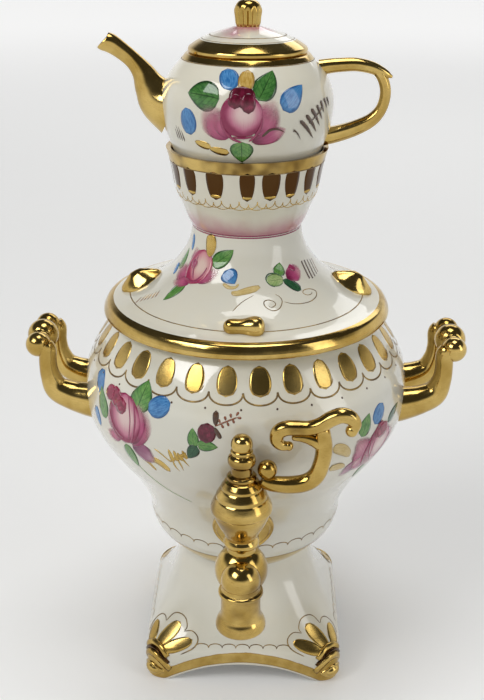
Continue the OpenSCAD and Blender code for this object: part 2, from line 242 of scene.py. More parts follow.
class Recipe:  # the nodes of one material, or of the world
    def __init__(self, name, kind=bpy.data.materials):
        self.owner = kind.new(name)
        self.owner.use_nodes = True
        self.tree = self.owner.node_tree
        self.tree.nodes.clear()

    def node(self, kind, settings=None, inputs=None, output=0):
        made = self.tree.nodes.new("ShaderNode" + kind)
        for key, value in (settings or {}).items():
            if key == "stops":
                ramp = made.color_ramp
                while len(ramp.elements) < len(value):
                    ramp.elements.new(0.5)
                for element, (place, colour) in zip(ramp.elements, value):
                    element.position, element.color = place, (*colour, 1)
            else:
                setattr(made, key, value)
        for key, value in (inputs or {}).items():
            if isinstance(value, Flow):
                self.tree.links.new(value.socket, made.inputs[key])
            else:
                made.inputs[key].default_value = value
        return Flow(self, made.outputs[output]) if made.outputs else None

    def place(self):  # the object's own coordinates, in metres, as three values
        spot = self.node("TexCoord", output="Object")
        return spot, [self.node("SeparateXYZ", inputs={0: spot}, output=i) for i in range(3)]

    def stroke(self):  # along and across a painted stroke, 0 to 1
        uv = self.node("UVMap", {"uv_map": "stroke"})
        return [self.node("SeparateXYZ", inputs={0: uv}, output=i) for i in range(2)]

    def noise(self, scale, detail=3, where=None, rough=0.55):
        inputs = {"Scale": scale, "Detail": detail, "Roughness": rough}
        inputs["Vector"] = where or self.place()[0]
        return self.node("TexNoise", inputs=inputs)

    def step(self, value, start, stop):  # 0 below start, 1 above stop
        return self.node("MapRange", {"interpolation_type": "SMOOTHSTEP"},
                         {"Value": value, "From Min": start, "From Max": stop})

    def blend(self, share, first, second):
        first = first if isinstance(first, Flow) else (*first, 1)
        second = second if isinstance(second, Flow) else (*second, 1)
        return self.node("Mix", {"data_type": "RGBA"}, {0: share, 6: first, 7: second}, 2)

    def bump(self, height, strength, distance):
        return self.node("Bump", inputs={"Strength": strength, "Distance": distance,
                                         "Height": height})

    def mirrored(self):  # 1 for the camera's own rays and for what is mirrored or seen through
        seen = self.node("LightPath", output="Is Camera Ray")
        for kind in ("Is Glossy Ray", "Is Transmission Ray"):
            seen = seen.maths("MAXIMUM", seen, self.node("LightPath", output=kind))
        return seen

    def finish(self, **sockets):
        shader = self.node("BsdfPrincipled", inputs={
            key.replace("_", " "): (*value, 1) if isinstance(value, tuple) else value
            for key, value in sockets.items()})
        self.node("OutputMaterial", inputs={"Surface": shader})
        return self.owner


# finishes

glaze = dict(white=(0.74, 0.722, 0.625), warm=(0.745, 0.705, 0.575), pink=(0.47, 0.11, 0.19),
             roughness=0.22, coat=1.0, coatRoughness=0.03)
gilding = dict(deep=(0.30, 0.175, 0.035), mid=(0.54, 0.365, 0.095), light=(0.80, 0.60, 0.235),
               umber=(0.062, 0.024, 0.008), roughness=0.13, worn=0.30)


def whiteOf(r, cloud):  # warm white in soft clouds
    return r.blend(r.step(cloud, 0.35, 0.7), glaze["white"], glaze["warm"])


def specked(r, spot, colour):  # fine pinholes
    speck = r.step(r.noise(900, 1, spot), 0.77, 0.83)
    return r.blend(speck * 0.35, colour, (0.35, 0.29, 0.22))


def partGilt(r, gilt, white, yellow, height):  # white glaze, and gold where gilt is 1
    return r.finish(Base_Color=r.blend(gilt, white, yellow), Metallic=gilt,
                    Roughness=glaze["roughness"] + gilt * (gilding["roughness"] - glaze["roughness"]),
                    Coat_Weight=1 - gilt, Coat_Roughness=glaze["coatRoughness"], IOR=1.5,
                    Normal=r.bump(height, 0.2, 0.0009))


def porcelain(name, blush=None):
    # white glaze; blush is a (from, to) height in millimetres over which airbrushed pink fades out
    r = Recipe(name)
    spot, (x, y, z) = r.place()
    cloud = r.noise(14, 4, spot)
    colour = specked(r, spot, whiteOf(r, cloud))
    if blush is not None:
        strong, gone = blush
        drift = (r.noise(45, 3, spot) - 0.5) * 0.012
        low, high = sorted((strong * mm, gone * mm))
        share = r.step(z + drift, low, high)
        share = 1 - share if gone > strong else share
        colour = r.blend(share * 0.8, colour, glaze["pink"])
    ripple = r.bump(r.noise(60, 2, spot), 0.12, 0.0006)
    return r.finish(Base_Color=colour, Roughness=glaze["roughness"] + cloud * 0.06,
                    Coat_Weight=glaze["coat"], Coat_Roughness=glaze["coatRoughness"],
                    Normal=ripple, IOR=1.5, Specular_IOR_Level=0.2)


def gold(name, brush=0.5, wave=0.25, rough=None, tint=0.0, tintFrom=None):
    # bright gold, fired on: thicker and thinner patches, fine brush marks and a soft wave;
    # umber painted over it, everywhere or only in patches where tintFrom is given, is painted dark
    # reflection
    r = Recipe(name)
    spot, (x, y, z) = r.place()
    patch = r.noise(38, 4, spot)
    grain = r.noise(420, 3, r.node("Mapping", inputs={"Vector": spot, "Scale": (1, 1, 3.5)}))
    colour = r.blend(r.step(patch, 0.32, 0.72), gilding["deep"], gilding["light"])
    colour = r.blend(0.55, colour, gilding["mid"])
    colour = r.blend(r.step(grain, 0.5, 0.8) * brush * 0.5, colour, gilding["deep"])
    if tint:
        # painted dark reflection: umber laid over the gold
        paintedReflection = tint if tintFrom is None else \
            r.step(r.noise(24, 3, spot), tintFrom, tintFrom + 0.14) * tint
        colour = r.blend(paintedReflection, colour, gilding["umber"])
    base = gilding["roughness"] if rough is None else rough
    roughness = base + r.step(r.noise(70, 4, spot), 0.5, 0.8) * (gilding["worn"] - base) * brush
    height = r.noise(75, 2, spot) * wave + grain * (0.05 * brush)
    return r.finish(Base_Color=colour, Metallic=1.0, Roughness=roughness,
                    Normal=r.bump(height, 0.5, 0.0011))


def paint(name, dark, mid, light, gone=None, kind="petal"):
    # brush-painted colour that changes along and across its own stroke
    r = Recipe(name)
    u, v = r.stroke()
    edge = abs(v * 2 - 1)
    spot = r.place()[0]
    streaks = r.noise(26, 3, r.node("Mapping", inputs={
        "Vector": r.node("CombineXYZ", inputs={0: u * 0.12, 1: v}), "Scale": (1, 1, 1)}))
    blot = r.noise(330, 3, spot)
    if kind == "bulb":  # pale where the petal swells, deep round its rim
        out = ((u - 0.56) * (u - 0.56) * 4.2 + (v - 0.42) * (v - 0.42) * 4.4) ** 0.5
        tone = r.step(out + (streaks - 0.5) * 0.3, 0.16, 0.93)
        colour = r.blend(tone, light, mid)
        colour = r.blend(r.step(out + (blot - 0.5) * 0.2, 0.72, 1.02), colour, dark)
    elif kind == "petal":  # deep at its root, pale at its tip
        tone = u + (streaks - 0.5) * 0.5
        colour = r.blend(r.step(tone, 0.05, 0.5), dark, mid)
        colour = r.blend(r.step(tone - edge * 0.15, 0.45, 1.0), colour, light)
    elif kind == "leaf":  # a dark rib with side veins, and a dark rim
        rib = 1 - r.step(abs(v - 0.5), 0.01, 0.035)
        comb = (u - abs(v - 0.5) * 0.7) * 6.0
        vein = r.step(abs(comb.maths("FRACT", comb) - 0.5), 0.34, 0.5)
        tone = r.step(blot * 0.5 + streaks * 0.6 - edge * 0.12, 0.3, 0.72)
        colour = r.blend(tone, mid, light)
        colour = r.blend(vein * 0.45, colour, dark)
        colour = r.blend(r.step(edge, 0.68, 0.95) * 0.8, colour, dark)
        colour = r.blend(rib * 0.75, colour, dark)
    elif kind == "heart":  # mottled, without a rim
        tone = r.step(blot * 0.8 + streaks * 0.4, 0.42, 0.78)
        colour = r.blend(tone, dark, mid)
        colour = r.blend(r.step(blot + streaks, 1.05, 1.3) * 0.6, colour, light)
    else:  # streaks along the stroke, darker at its rim
        tone = r.step(streaks + (blot - 0.5) * 0.3, 0.36, 0.66)
        colour = r.blend(tone, mid, light)
        colour = r.blend(r.step(edge, 0.6, 1.0) * 0.55, colour, dark)
        colour = r.blend((1 - r.step(u, 0.0, 0.2)) * 0.4, colour, dark)
    sockets = {}
    if gone is not None:
        fade = r.step(u + edge * edge * gone[2] + (blot - 0.5) * 0.12, gone[0], gone[1])
        sockets["Alpha"] = 1 - fade
    return r.finish(Base_Color=colour, Roughness=glaze["roughness"], Coat_Weight=glaze["coat"],
                    Coat_Roughness=glaze["coatRoughness"], IOR=1.5, Specular_IOR_Level=0.1,
                    **sockets)


whiteGlaze = porcelain("white_glaze")
crownGlaze = porcelain("crown_glaze", (312.5, 327))
potLidGlaze = porcelain("teapot_lid_glaze", (433.8, 429.4))
brightGold = gold("bright_gold")
# cast gold with umber patches painted in as dark reflections
castGoldPaintedReflections = gold("cast_gold_painted_reflections", brush=0.8, wave=0.4, tint=0.55, tintFrom=0.52)
# the crown's rim gold, with umber patches painted in as dark reflections
rimGoldPaintedReflections = gold("rim_gold_painted_reflections", brush=0.5, wave=0.2, tint=0.85, tintFrom=0.42)
# near-black umber gold; on the crown's windows it is a painted dark reflection
umberGold = gold("umber_gold", brush=0.4, wave=0.15, rough=0.1, tint=0.96)
petalGold = gold("petal_gold", brush=0.7, wave=0.2, rough=0.24)
paleGold = gold("pale_gold", brush=0.2, wave=0.1, rough=0.2)


def darkGold():  # thin lines, where the gold is drawn over brown
    r = Recipe("thin_gold_line")
    tone = r.step(r.noise(160, 3), 0.38, 0.66)
    colour = r.blend(tone, (0.13, 0.075, 0.02), (0.38, 0.25, 0.08))
    return r.finish(Base_Color=colour, Metallic=tone * 0.7, Roughness=0.3)


def metal(name, colour, roughness, metallic, scale):
    r = Recipe(name)
    grain = r.noise(scale, 4)
    worn = r.blend(r.step(grain, 0.35, 0.7), tuple(c * 0.7 for c in colour), colour)
    return r.finish(Base_Color=worn, Metallic=metallic, Roughness=roughness + grain * 0.2,
                    Normal=r.bump(grain, 0.3, 0.0003))


lineGold = darkGold()
steel = metal("zinc_steel", (0.62, 0.63, 0.66), 0.25, 1.0, 240)
rubber = metal("seal_rubber", (0.035, 0.035, 0.038), 0.55, 0.0, 600)
paints = {
    "rose": paint("rose_petal", (0.16, 0.006, 0.045), (0.44, 0.07, 0.18), (0.72, 0.38, 0.42),
                  (0.70, 1.12, 0.34)),
    "blush": paint("rose_blush", (0.28, 0.02, 0.10), (0.56, 0.14, 0.25), (0.76, 0.50, 0.50),
                   (0.35, 1.05, 0.40)),
    "bulb": paint("rose_cup", (0.26, 0.012, 0.07), (0.52, 0.12, 0.23), (0.78, 0.58, 0.55),
                  kind="bulb"),
    "heart": paint("rose_heart", (0.07, 0.003, 0.012), (0.17, 0.008, 0.035), (0.30, 0.03, 0.08),
                   kind="heart"),
    "crimson": paint("crimson_heart", (0.19, 0.008, 0.035), (0.34, 0.02, 0.075), (0.50, 0.10, 0.17),
                     kind="heart"),
    "crease": paint("rose_crease", (0.17, 0.006, 0.035), (0.27, 0.02, 0.08), (0.40, 0.06, 0.15),
                    kind="wash"),
    "salmon": paint("salmon_cup", (0.40, 0.04, 0.11), (0.62, 0.20, 0.26), (0.80, 0.60, 0.52),
                    kind="bulb"),
    "sand": paint("sand_petal", (0.42, 0.27, 0.07), (0.60, 0.43, 0.15), (0.72, 0.57, 0.26),
                  kind="wash"),
    "plum": paint("plum_petal", (0.15, 0.02, 0.08), (0.30, 0.09, 0.18), (0.55, 0.32, 0.40),
                  (0.7, 1.15, 0.3)),
    "leaf": paint("green_leaf", (0.008, 0.03, 0.008), (0.022, 0.115, 0.022), (0.10, 0.27, 0.06),
                  kind="leaf"),
    "green": paint("fresh_leaf", (0.012, 0.06, 0.010), (0.05, 0.21, 0.035), (0.20, 0.40, 0.10),
                   kind="leaf"),
    "pale": paint("pale_leaf", (0.07, 0.15, 0.03), (0.26, 0.41, 0.13), (0.50, 0.59, 0.28),
                  kind="leaf"),
    "dark": paint("dark_leaf", (0.004, 0.02, 0.010), (0.012, 0.06, 0.028), (0.045, 0.15, 0.06),
                  kind="leaf"),
    "blue": paint("blue_petal", (0.008, 0.05, 0.18), (0.022, 0.14, 0.38), (0.10, 0.31, 0.60),
                  kind="wash"),
    "ochre": paint("ochre_petal", (0.26, 0.13, 0.015), (0.42, 0.24, 0.035), (0.64, 0.45, 0.14),
                   kind="wash"),
    "brown": paint("brown_line", (0.02, 0.009, 0.005), (0.05, 0.022, 0.012), (0.12, 0.055, 0.025),
                   kind="wash"),
    "russet": paint("russet_line", (0.10, 0.02, 0.010), (0.20, 0.05, 0.02), (0.34, 0.13, 0.06),
                    kind="wash"),
    "gold": petalGold, "umber": umberGold, "straw": paleGold, "line": lineGold,
}
print("finishes")


# brush strokes, laid on a surface as thin closed skins

def distances(points):  # how far along the line each point lies
    far = [0.0]
    for a, b in zip(points, points[1:]):
        far.append(far[-1] + (b - a).length)
    return far


def stretch(far, s):  # which stretch of the line the distance s falls in, and its share of it
    i = min(max(bisect_right(far, s) - 1, 0), len(far) - 2)
    return i, (s - far[i]) / max(far[i + 1] - far[i], 1e-9)


class Wall:  # a turned surface, from its outline
    def __init__(self, outline):
        self.line = [Vector(p) for p in outline]
        self.far = distances(self.line)

    def up(self, height):  # distance along the outline at a height
        for i, (a, b) in enumerate(zip(self.line, self.line[1:])):
            if a.y <= height <= b.y:
                return self.far[i] + (height - a.y) / max(b.y - a.y, 1e-9) * (b - a).length
        return self.far[-1]

    def reach(self, height):  # the wall's radius at a height
        return abs(self.at(0, self.up(height), 0).y) / mm

    def at(self, angle, s, lift):
        i, share = stretch(self.far, s)
        a, b = self.line[i], self.line[i + 1]
        before, after = self.line[max(i - 1, 0)], self.line[min(i + 2, len(self.line) - 1)]
        along = (b - before).lerp(after - a, share).normalized()
        spot = a.lerp(b, share) + Vector((along.y, -along.x)) * lift
        turn = math.radians(angle)
        return Vector((math.sin(turn) * spot.x, -math.cos(turn) * spot.x, spot.y)) * mm

    def canvas(self, angle, height):
        # strokes go p to the right and q up from here, in millimetres
        base = self.up(height)

        def onWall(p, q, lift):
            s = base + q
            i, share = stretch(self.far, s)
            r = max(self.line[i].lerp(self.line[i + 1], share).x, 5.0)
            return self.at(angle + math.degrees(p / r), s, lift)
        return onWall


def rooted(mesh, wall, depth):
    # cuts a tube off within the thickness of the wall that it enters, and gives its open edges
    def sunk(vert):
        x, y, z = vert.co / mm
        return math.hypot(x, y) < wall.reach(z) - depth

    deep = {v for v in mesh.verts if sunk(v)}
    bmesh.ops.delete(mesh, geom=[f for f in mesh.faces if deep.issuperset(f.verts)],
                     context="FACES")
    for vert in mesh.verts:
        if sunk(vert):
            x, y, z = vert.co / mm
            edge = math.sqrt(max((wall.reach(z) - depth) ** 2 - y * y, 0))
            vert.co.x = math.copysign(edge, x) * mm
    return [e for e in mesh.edges if e.is_boundary]


brushes = {  # how a stroke swells from its root and narrows to its tip
    "petal": (0.55, 0.36), "round": (0.5, 0.5), "leaf": (0.55, 0.95), "drop": (0.5, 0.37),
    "tongue": (0.13, 0.36), "line": (0.22, 0.22), "flick": (0.3, 0.9), "band": (0.0, 0.0),
}
skin = dict(first=0.05, layer=0.024, thick=0.16, cell=1.6)


def layStroke(mesh, canvas, brush, colour, line, width, lift, rise=0.0):
    # one stroke whose middle follows the line, a list of (p, q)
    root, tip = brushes[brush]
    top = 1.0 if root + tip == 0 else \
        (root / (root + tip)) ** root * (tip / (root + tip)) ** tip
    points = [Vector(p) for p in line]
    far = distances(points)
    uv = mesh.loops.layers.uv.verify()
    long = max(6, round(far[-1] / skin["cell"]), min(len(line) - 1, 60) if width < 3 else 0)
    wide = max(2, round(width / skin["cell"])) if width > 1.5 or rise else 1
    made = bmesh.ops.create_grid(mesh, x_segments=long, y_segments=wide, size=0.5,
                                 calc_uvs=True)["verts"]
    for face in {f for v in made for f in v.link_faces}:
        face.material_index = colour
        for loop in face.loops:
            loop[uv].uv = loop.vert.co.x + 0.5, loop.vert.co.y + 0.5
    for vert in made:
        u, v = min(max(vert.co.x + 0.5, 0.0), 1.0), vert.co.y * 2
        i, share = stretch(far, u * far[-1])
        spot = points[i].lerp(points[i + 1], share)
        before, after = points[max(i - 1, 0)], points[min(i + 2, len(points) - 1)]
        along = (points[i + 1] - before).lerp(after - points[i], share).normalized()
        swell = u ** root * (1 - u) ** tip / top if root + tip else 1.0
        spot = spot + Vector((-along.y, along.x)) * (v * swell * width / 2)
        hump = rise * math.sqrt(max(1 - v * v, 0)) * min(swell * 1.2, 1)
        vert.co = canvas(spot.x, spot.y, lift + hump)


def curve(x, y, heading, length, bend=0.0, curl=1.0, steps=16):
    # a line that sets off at its heading and turns by bend, later and later with more curl
    line, step = [(x, y)], length / steps
    for k in range(steps):
        angle = math.radians(heading + bend * ((k + 0.5) / steps) ** curl)
        x, y = x + math.cos(angle) * step, y + math.sin(angle) * step
        line.append((x, y))
    return line


class Painter:  # gathers strokes into one mesh with one material for each colour used
    def __init__(self):
        self.mesh, self.used = bmesh.new(), []
        self.mesh.loops.layers.uv.new("stroke")

    def lay(self, canvas, brush, colour, line, width, layer=0, rise=0.0):
        if colour not in self.used:
            self.used.append(colour)
        layStroke(self.mesh, canvas, brush, self.used.index(colour), line, width,
                  skin["first"] + skin["layer"] * layer, rise)

    def motif(self, canvas, strokes):
        for k, (colour, brush, x, y, heading, length, width, bend) in enumerate(strokes):
            self.lay(canvas, brush, colour, curve(x, y, heading, length, bend), width, min(k, 16))

    def trace(self, canvas, lines, layer=1):
        # strokes given as colour, brush, width and the points they run through
        for colour, brush, width, points in lines:
            self.lay(canvas, brush, colour, smoothLine(points, 6), width, layer)

    def hatch(self, canvas, start, end, count, heading, length, width, colour, fan=0.0):
        # a row of short strokes, like a fern
        for k in range(count):
            t = k / max(count - 1, 1)
            x, y = start[0] + (end[0] - start[0]) * t, start[1] + (end[1] - start[1]) * t
            grow = length * (0.75 + 0.5 * math.sin(math.pi * (0.15 + 0.7 * t)))
            self.lay(canvas, "flick", colour, curve(x, y, heading + fan * (t - 0.5), grow, 14, steps=6),
                     width, k % 3)

    def ring(self, wall, height, width, colour, layer=0, parts=24):
        radius = wall.reach(height)
        reach = math.pi * radius / parts
        for k in range(parts):
            self.lay(wall.canvas(360 * k / parts, height), "band", colour,
                     [(-reach + 2 * reach * j / 6, 0) for j in range(7)], width, layer)

    def arches(self, wall, height, count, high, width, colour, first=0.0, layer=0, drop=1):
        # a scalloped line: drop 1 sags between its points, -1 arches over them
        radius = wall.reach(height)
        reach = math.pi * radius / count
        line = [(reach * math.sin(math.radians(t)), -drop * high * (math.cos(math.radians(t)) ** 0.8))
                for t in [-90 + 12 * j for j in range(16)]]
        for k in range(count):
            self.lay(wall.canvas(first + 360 * k / count, height), "band", colour, line, width, layer)

    def piece(self, name, body, slot):
        bmesh.ops.remove_doubles(self.mesh, verts=self.mesh.verts, dist=4e-7)
        piece = makePiece(name, self.mesh, body, [paints[c] for c in self.used], clean=False)
        shell = piece.modifiers.new("thickness", "SOLIDIFY")
        shell.thickness, shell.offset = skin["thick"] * mm, -1


# pedestal

pedestal = dict(half=67, height=80, wall=5.5, archHigh=14.5, archHalf=51, sides=288, hollowTop=74,
                shoulder=17.6, bandWide=9.6, bandFrom=1.9, footLow=24, footSlope=0.82, footAt=128,
                footFrom=53)
pedestalRings = smoothLine([(0, 1, 12), (0.15, 1.022, 9), (0.275, 1.015, 7), (0.338, 0.985, 5.5),
                            (0.425, 0.925, 4.2), (0.55, 0.85, 3.2), (0.7, 0.776, 2.6),
                            (0.86, 0.718, 2.2), (1, 0.687, 2)], 6)
archRadius = (pedestal["archHalf"] ** 2 + pedestal["archHigh"] ** 2) / (2 * pedestal["archHigh"])
archDrop = archRadius - pedestal["archHigh"]


def ringAt(height):  # half width and squareness of the pedestal at a height
    share = height / pedestal["height"]
    for low, high in zip(pedestalRings, pedestalRings[1:]):
        if low[0] <= share <= high[0]:
            t = (share - low[0]) / max(high[0] - low[0], 1e-9)
            return [a + (b - a) * t for a, b in zip(low, high)][1:]
    return pedestalRings[-1][1:]


def archHeight(x, y):
    rise = 0.0
    for t in (x, y):
        if abs(t) < pedestal["archHalf"]:
            rise = max(rise, math.sqrt(archRadius ** 2 - t * t) - archDrop)
    return rise


def pedestalPoint(angle, height, shrink=0.0):
    half, square = ringAt(height)
    c, s = abs(math.cos(angle)), abs(math.sin(angle))
    reach = (half * pedestal["half"] - shrink) * (c ** square + s ** square) ** (-1 / square)
    return math.cos(angle) * reach, math.sin(angle) * reach


def pedestalMesh():
    mesh = bmesh.new()
    verts = bmesh.ops.create_circle(mesh, cap_ends=False, segments=pedestal["sides"], radius=1)["verts"]
    angles = {v: math.atan2(v.co.y, v.co.x) for v in verts}
    edges = list({e for v in verts for e in v.link_edges})
    # each ring is (kind, value, shrink), first down the outside, then up the inside: the value of a
    # high ring is its height, of a low one its share of the way up to the shoulder from the arch,
    # and of a rim its height over the arch
    shoulder, wall = pedestal["shoulder"], pedestal["wall"]
    heights = sorted((ring[0] * pedestal["height"] for ring in pedestalRings), reverse=True)
    levels = [("high", z, 0.0) for z in heights if z > shoulder]
    levels += [("low", t, 0.0) for t in (1.0, 0.8, 0.6, 0.4, 0.22, 0.1)]
    levels += [("rim", 0.36, 0.25), ("rim", 0.0, 1.0), ("rim", 0.0, wall - 0.8), ("rim", 0.3, wall)]
    levels += [("low", t, wall) for t in (0.25, 0.6, 1.0)]
    levels += [("high", z, wall) for z in (19.5, 26, 32, 38, 46, 54, 62, 70, pedestal["hollowTop"])]

    def put(ring, level):
        kind, value, shrink = level
        for vert, angle in ring.items():
            z = value
            if kind != "high":
                bottom = archHeight(*pedestalPoint(angle, 6, shrink))
                z = bottom + ((shoulder - bottom) * value if kind == "low" else value)
            x, y = pedestalPoint(angle, z, shrink)
            vert.co = Vector((x, y, z)) * mm

    put(angles, levels[0])
    topRing = set(angles)
    for level in levels[1:]:
        old = angles
        made = bmesh.ops.extrude_edge_only(mesh, edges=edges)["geom"]
        fresh = [g for g in made if isinstance(g, bmesh.types.BMVert)]
        spots = {tuple(round(c, 9) for c in v.co): a for v, a in old.items()}
        angles = {v: spots[tuple(round(c, 9) for c in v.co)] for v in fresh}
        known = set(fresh)
        edges = [g for g in made if isinstance(g, bmesh.types.BMEdge) and set(g.verts) <= known]
        put(angles, level)
    # close the top plate outside and inside
    for ring in (topRing, set(angles)):
        loop = [e for e in mesh.edges if e.is_boundary and ring.issuperset(e.verts)]
        bmesh.ops.edgeloop_fill(mesh, edges=loop)
    return mesh


def pedestalGlaze():
    # white glaze, with a gold band along each arch and gold toes
    r = Recipe("pedestal_glaze")
    spot, (x, y, z) = r.place()
    x, y, z = abs(x) * 1000, abs(y) * 1000, z * 1000
    drift = (r.noise(120, 3, spot) - 0.5) * 1.1
    along = x.maths("MINIMUM", x, y)
    across = x.maths("MAXIMUM", x, y)
    reach = (along * along + (z + archDrop) * (z + archDrop)) ** 0.5 - archRadius + drift
    band = 1 - r.step(reach, pedestal["bandWide"] - 0.25, pedestal["bandWide"] + 0.25)
    band = band * r.step(reach, pedestal["bandFrom"] - 0.25, pedestal["bandFrom"] + 0.25)
    rim = r.step(abs(reach - pedestal["bandWide"]), 0.3, 0.9)
    rim = rim * r.step(abs(reach - pedestal["bandFrom"]), 0.3, 0.9)
    toe = r.step(pedestal["footLow"] + (x + y - pedestal["footAt"]) * pedestal["footSlope"]
                 - z + drift * 0.6, -0.2, 0.2)
    toe = toe * r.step(along + drift + z * 0.12, pedestal["footFrom"] + 0.8, pedestal["footFrom"] + 1.4)
    outside = r.step(across, pedestal["half"] - 4.8, pedestal["half"] - 4.2)
    gilt = (band.maths("MAXIMUM", band, toe)) * outside
    yellow = r.blend(r.step(r.noise(60, 4, spot), 0.3, 0.72), gilding["deep"], gilding["light"])
    yellow = r.blend(0.5, yellow, gilding["mid"])
    yellow = r.blend((1 - rim) * 0.6, yellow, (0.30, 0.17, 0.05))
    height = r.noise(60, 2, spot) * 0.3 + gilt * r.noise(75, 2, spot) * 0.5
    return partGilt(r, gilt, whiteOf(r, r.noise(14, 4, spot)), yellow, height)


footMesh = facedOut(pedestalMesh())
footTree = BVHTree.FromBMesh(footMesh)
makePiece("pedestal_shell", footMesh, "samovar", [pedestalGlaze()],
          ("pedestal_skirt", "pedestal_shoulder"), sharp=50)
print("pedestal")


def castCanvas(tree, origin, outward, right):
    # p to the right and q up in the plane that faces outward, dropped on to the surface
    out = Vector(outward).normalized()
    across = Vector(right).normalized()
    up = (Vector((0, 0, 1)) - out * out.z).normalized()

    def onSurface(p, q, lift):
        start = (Vector(origin) + across * p + up * q) * mm + out * 0.05
        hit, normal, _, _ = tree.ray_cast(start, -out, 0.15)
        if hit is None:
            hit, normal, _, _ = tree.find_nearest(start - out * 0.05)
        return hit + normal * lift * mm
    return onSurface


corners = [(1, -1, 1), (-1, -1, -1), (1, 1, -1), (-1, 1, 1)]  # x, y, and which way the petals lean


def cornerCanvas(x, y, lean, height=22, tilt=40):
    up = math.radians(tilt)
    flat = math.cos(up) * 0.7071
    return castCanvas(footTree, (x * 61, y * 61, height), (x * flat, y * flat, math.sin(up)),
                      (-y * lean, x * lean, 0))


shield = dict(outline=[(0, 2.7), (0.18, 2.6), (0.36, 2.25), (0.5, 1.75), (0.6, 1.15), (0.66, 0.9),
                       (0.74, 1.1), (0.84, 1.05), (0.94, 0.6), (1.0, -0.8)],
              height=7.2, wide=9.6, high=5.6)


def footBosses():
    # almond shields with a groove round a dome, wrapped round the corners
    whole = bmesh.new()
    for x, y, lean in corners:
        one = turnedMesh(softened(shield["outline"], 0.05), steps=48)
        cast = cornerCanvas(x, y, lean, shield["height"], 0)
        for vert in one.verts:
            p, q, lift = vert.co / mm
            narrow = 1 - 0.5 * abs(p) ** 1.3
            vert.co = cast(p * shield["wide"], q * shield["high"] * narrow, lift)
        whole = joined(whole, one)
    return whole


makePiece("foot_shields", footBosses(), "samovar", [brightGold],
          ("foot_bosses",), sharp=50)

footPetals = [
    ("gold", "round", -5.5, 0.6, 133, 22.5, 8.8, -6),
    ("gold", "round", -0.8, 2.6, 104, 22.5, 10.6, 4),
    ("gold", "round", 4.5, 0.6, 58, 18.5, 9, 6),
]
footStrips = [(-2.6, 4.6, "gold", 10.6), (0.9, 3, "umber", 11.6), (4.7, 4.6, "gold", 12.4)]
petalEdge = [(-17.5, 5), (-22, 11.5), (-23.4, 17), (-21.8, 21.2), (-17.2, 22.9), (-12.6, 19.8),
             (-13, 23.6), (-9.2, 28.2), (-3.6, 29), (1.4, 26.4), (4, 19.4),
             (7.6, 22), (12, 21.4), (15.8, 17.6), (17, 12), (15.4, 7)]
feet = Painter()
for x, y, lean in corners:
    cast = cornerCanvas(x, y, lean)
    feet.motif(cast, footPetals)
    for lobe in (petalEdge[:6], petalEdge[5:11], petalEdge[10:]):
        feet.lay(cast, "line", "line", smoothLine(lobe, 5), 0.7, 1)
    for low, wide, colour, half in footStrips:
        strip = [(-half, -3.6), (-half * 0.7, -1.4), (-4, 0.4), (0, 0.8), (4, 0.4),
                 (half * 0.7, -1.4), (half, -3.6)]
        feet.lay(cast, "band", colour, smoothLine([(p, q - low) for p, q in strip], 4), wide, 1, 0.7)
for x, y in ((0, -1), (1, 0), (0, 1), (-1, 0)):
    cast = castCanvas(footTree, (x * 66, y * 66, 26.6), (x, y, 0.25), (-y, x, 0))
    for k in range(-3, 4):
        line = [(k * 9.4 + 4.7 * math.sin(math.radians(t)), 2.7 * math.cos(math.radians(t)) ** 0.8)
                for t in range(-90, 91, 12)]
        feet.lay(cast, "band", "line", line, 0.6, 0)
feet.piece("pedestal_painting", "samovar", "gilded_porcelain")
print("feet")


# urn

urn = dict(radius=108, height=174, base=80, wall=5, mouth=76, goldFrom=81.2, goldTo=96.4, steps=192)
urnShape = [(0.426, 0), (0.463, 0.02), (0.528, 0.06), (0.593, 0.112), (0.614, 0.161), (0.627, 0.218),
            (0.673, 0.287), (0.754, 0.374), (0.857, 0.46), (0.943, 0.546), (0.991, 0.622), (1, 0.678),
            (0.997, 0.73), (0.98, 0.805), (0.924, 0.874), (0.859, 0.937), (0.796, 0.985)]
urnOut = smoothLine(sized(urnShape, urn["radius"], urn["height"], urn["base"]), 8)
urnWall = Wall(urnOut)
mouthZ = urn["base"] + urn["height"]


def bandGlaze(name, low, high):
    # white glaze with a gold band between two heights, its edges drawn by hand
    r = Recipe(name)
    spot, (x, y, z) = r.place()
    height = z * 1000 + r.noise(90, 3, spot) - 0.5
    gilt = r.step(height, low - 0.15, low + 0.15) * (1 - r.step(height, high - 0.15, high + 0.15))
    edge = gilt * (1 - r.step(height, low + 0.3, low + 0.9) * (1 - r.step(height, high - 0.9, high - 0.3)))
    white = specked(r, spot, whiteOf(r, r.noise(14, 4, spot)))
    yellow = r.blend(r.step(r.noise(50, 4, spot), 0.3, 0.72), gilding["mid"], gilding["light"])
    yellow = r.blend(edge * 0.75, yellow, gilding["umber"])
    bumps = r.noise(60, 2, spot) * 0.3 + gilt * r.noise(75, 2, spot) * 0.4
    return partGilt(r, gilt, white, yellow, bumps)


urnGlaze = bandGlaze("urn_glaze", urn["goldFrom"], urn["goldTo"])


def urnMesh():
    floor = urn["base"] + urn["wall"]
    inside = [p for p in inward(urnOut, urn["wall"]) if p[1] > floor + 0.3]
    lip = softened([urnOut[-1], (urn["mouth"] + 9, mouthZ), (urn["mouth"], mouthZ),
                    (urn["mouth"], mouthZ - 5), inside[-1]], 1.2)
    outline = [(0, urn["base"])] + urnOut + lip[1:-1] + inside[::-1]
    return turnedMesh(outline + [(inside[0][0] - 1.5, floor), (0, floor)], steps=urn["steps"])


makePiece("urn_shell", urnMesh(), "samovar", [urnGlaze],
          ("urn_stem", "urn_body", "urn_shoulder"))

towardsFront = Matrix.Rotation(math.radians(90), 4, "X")
handle = dict(x=137, z=232, armY=20, mid=10.3, end=8.2, endY=18, bar=5.6)
armPath = smoothLine([(96, 192, 12), (105, 193.5, 11.4), (117, 196.5, 9.5), (126, 201.5, 8.3),
                      (130, 211, 6.5), (131, 220, 5.8), (130.7, 229, 5.8), (132.5, 233, 5)], 6)


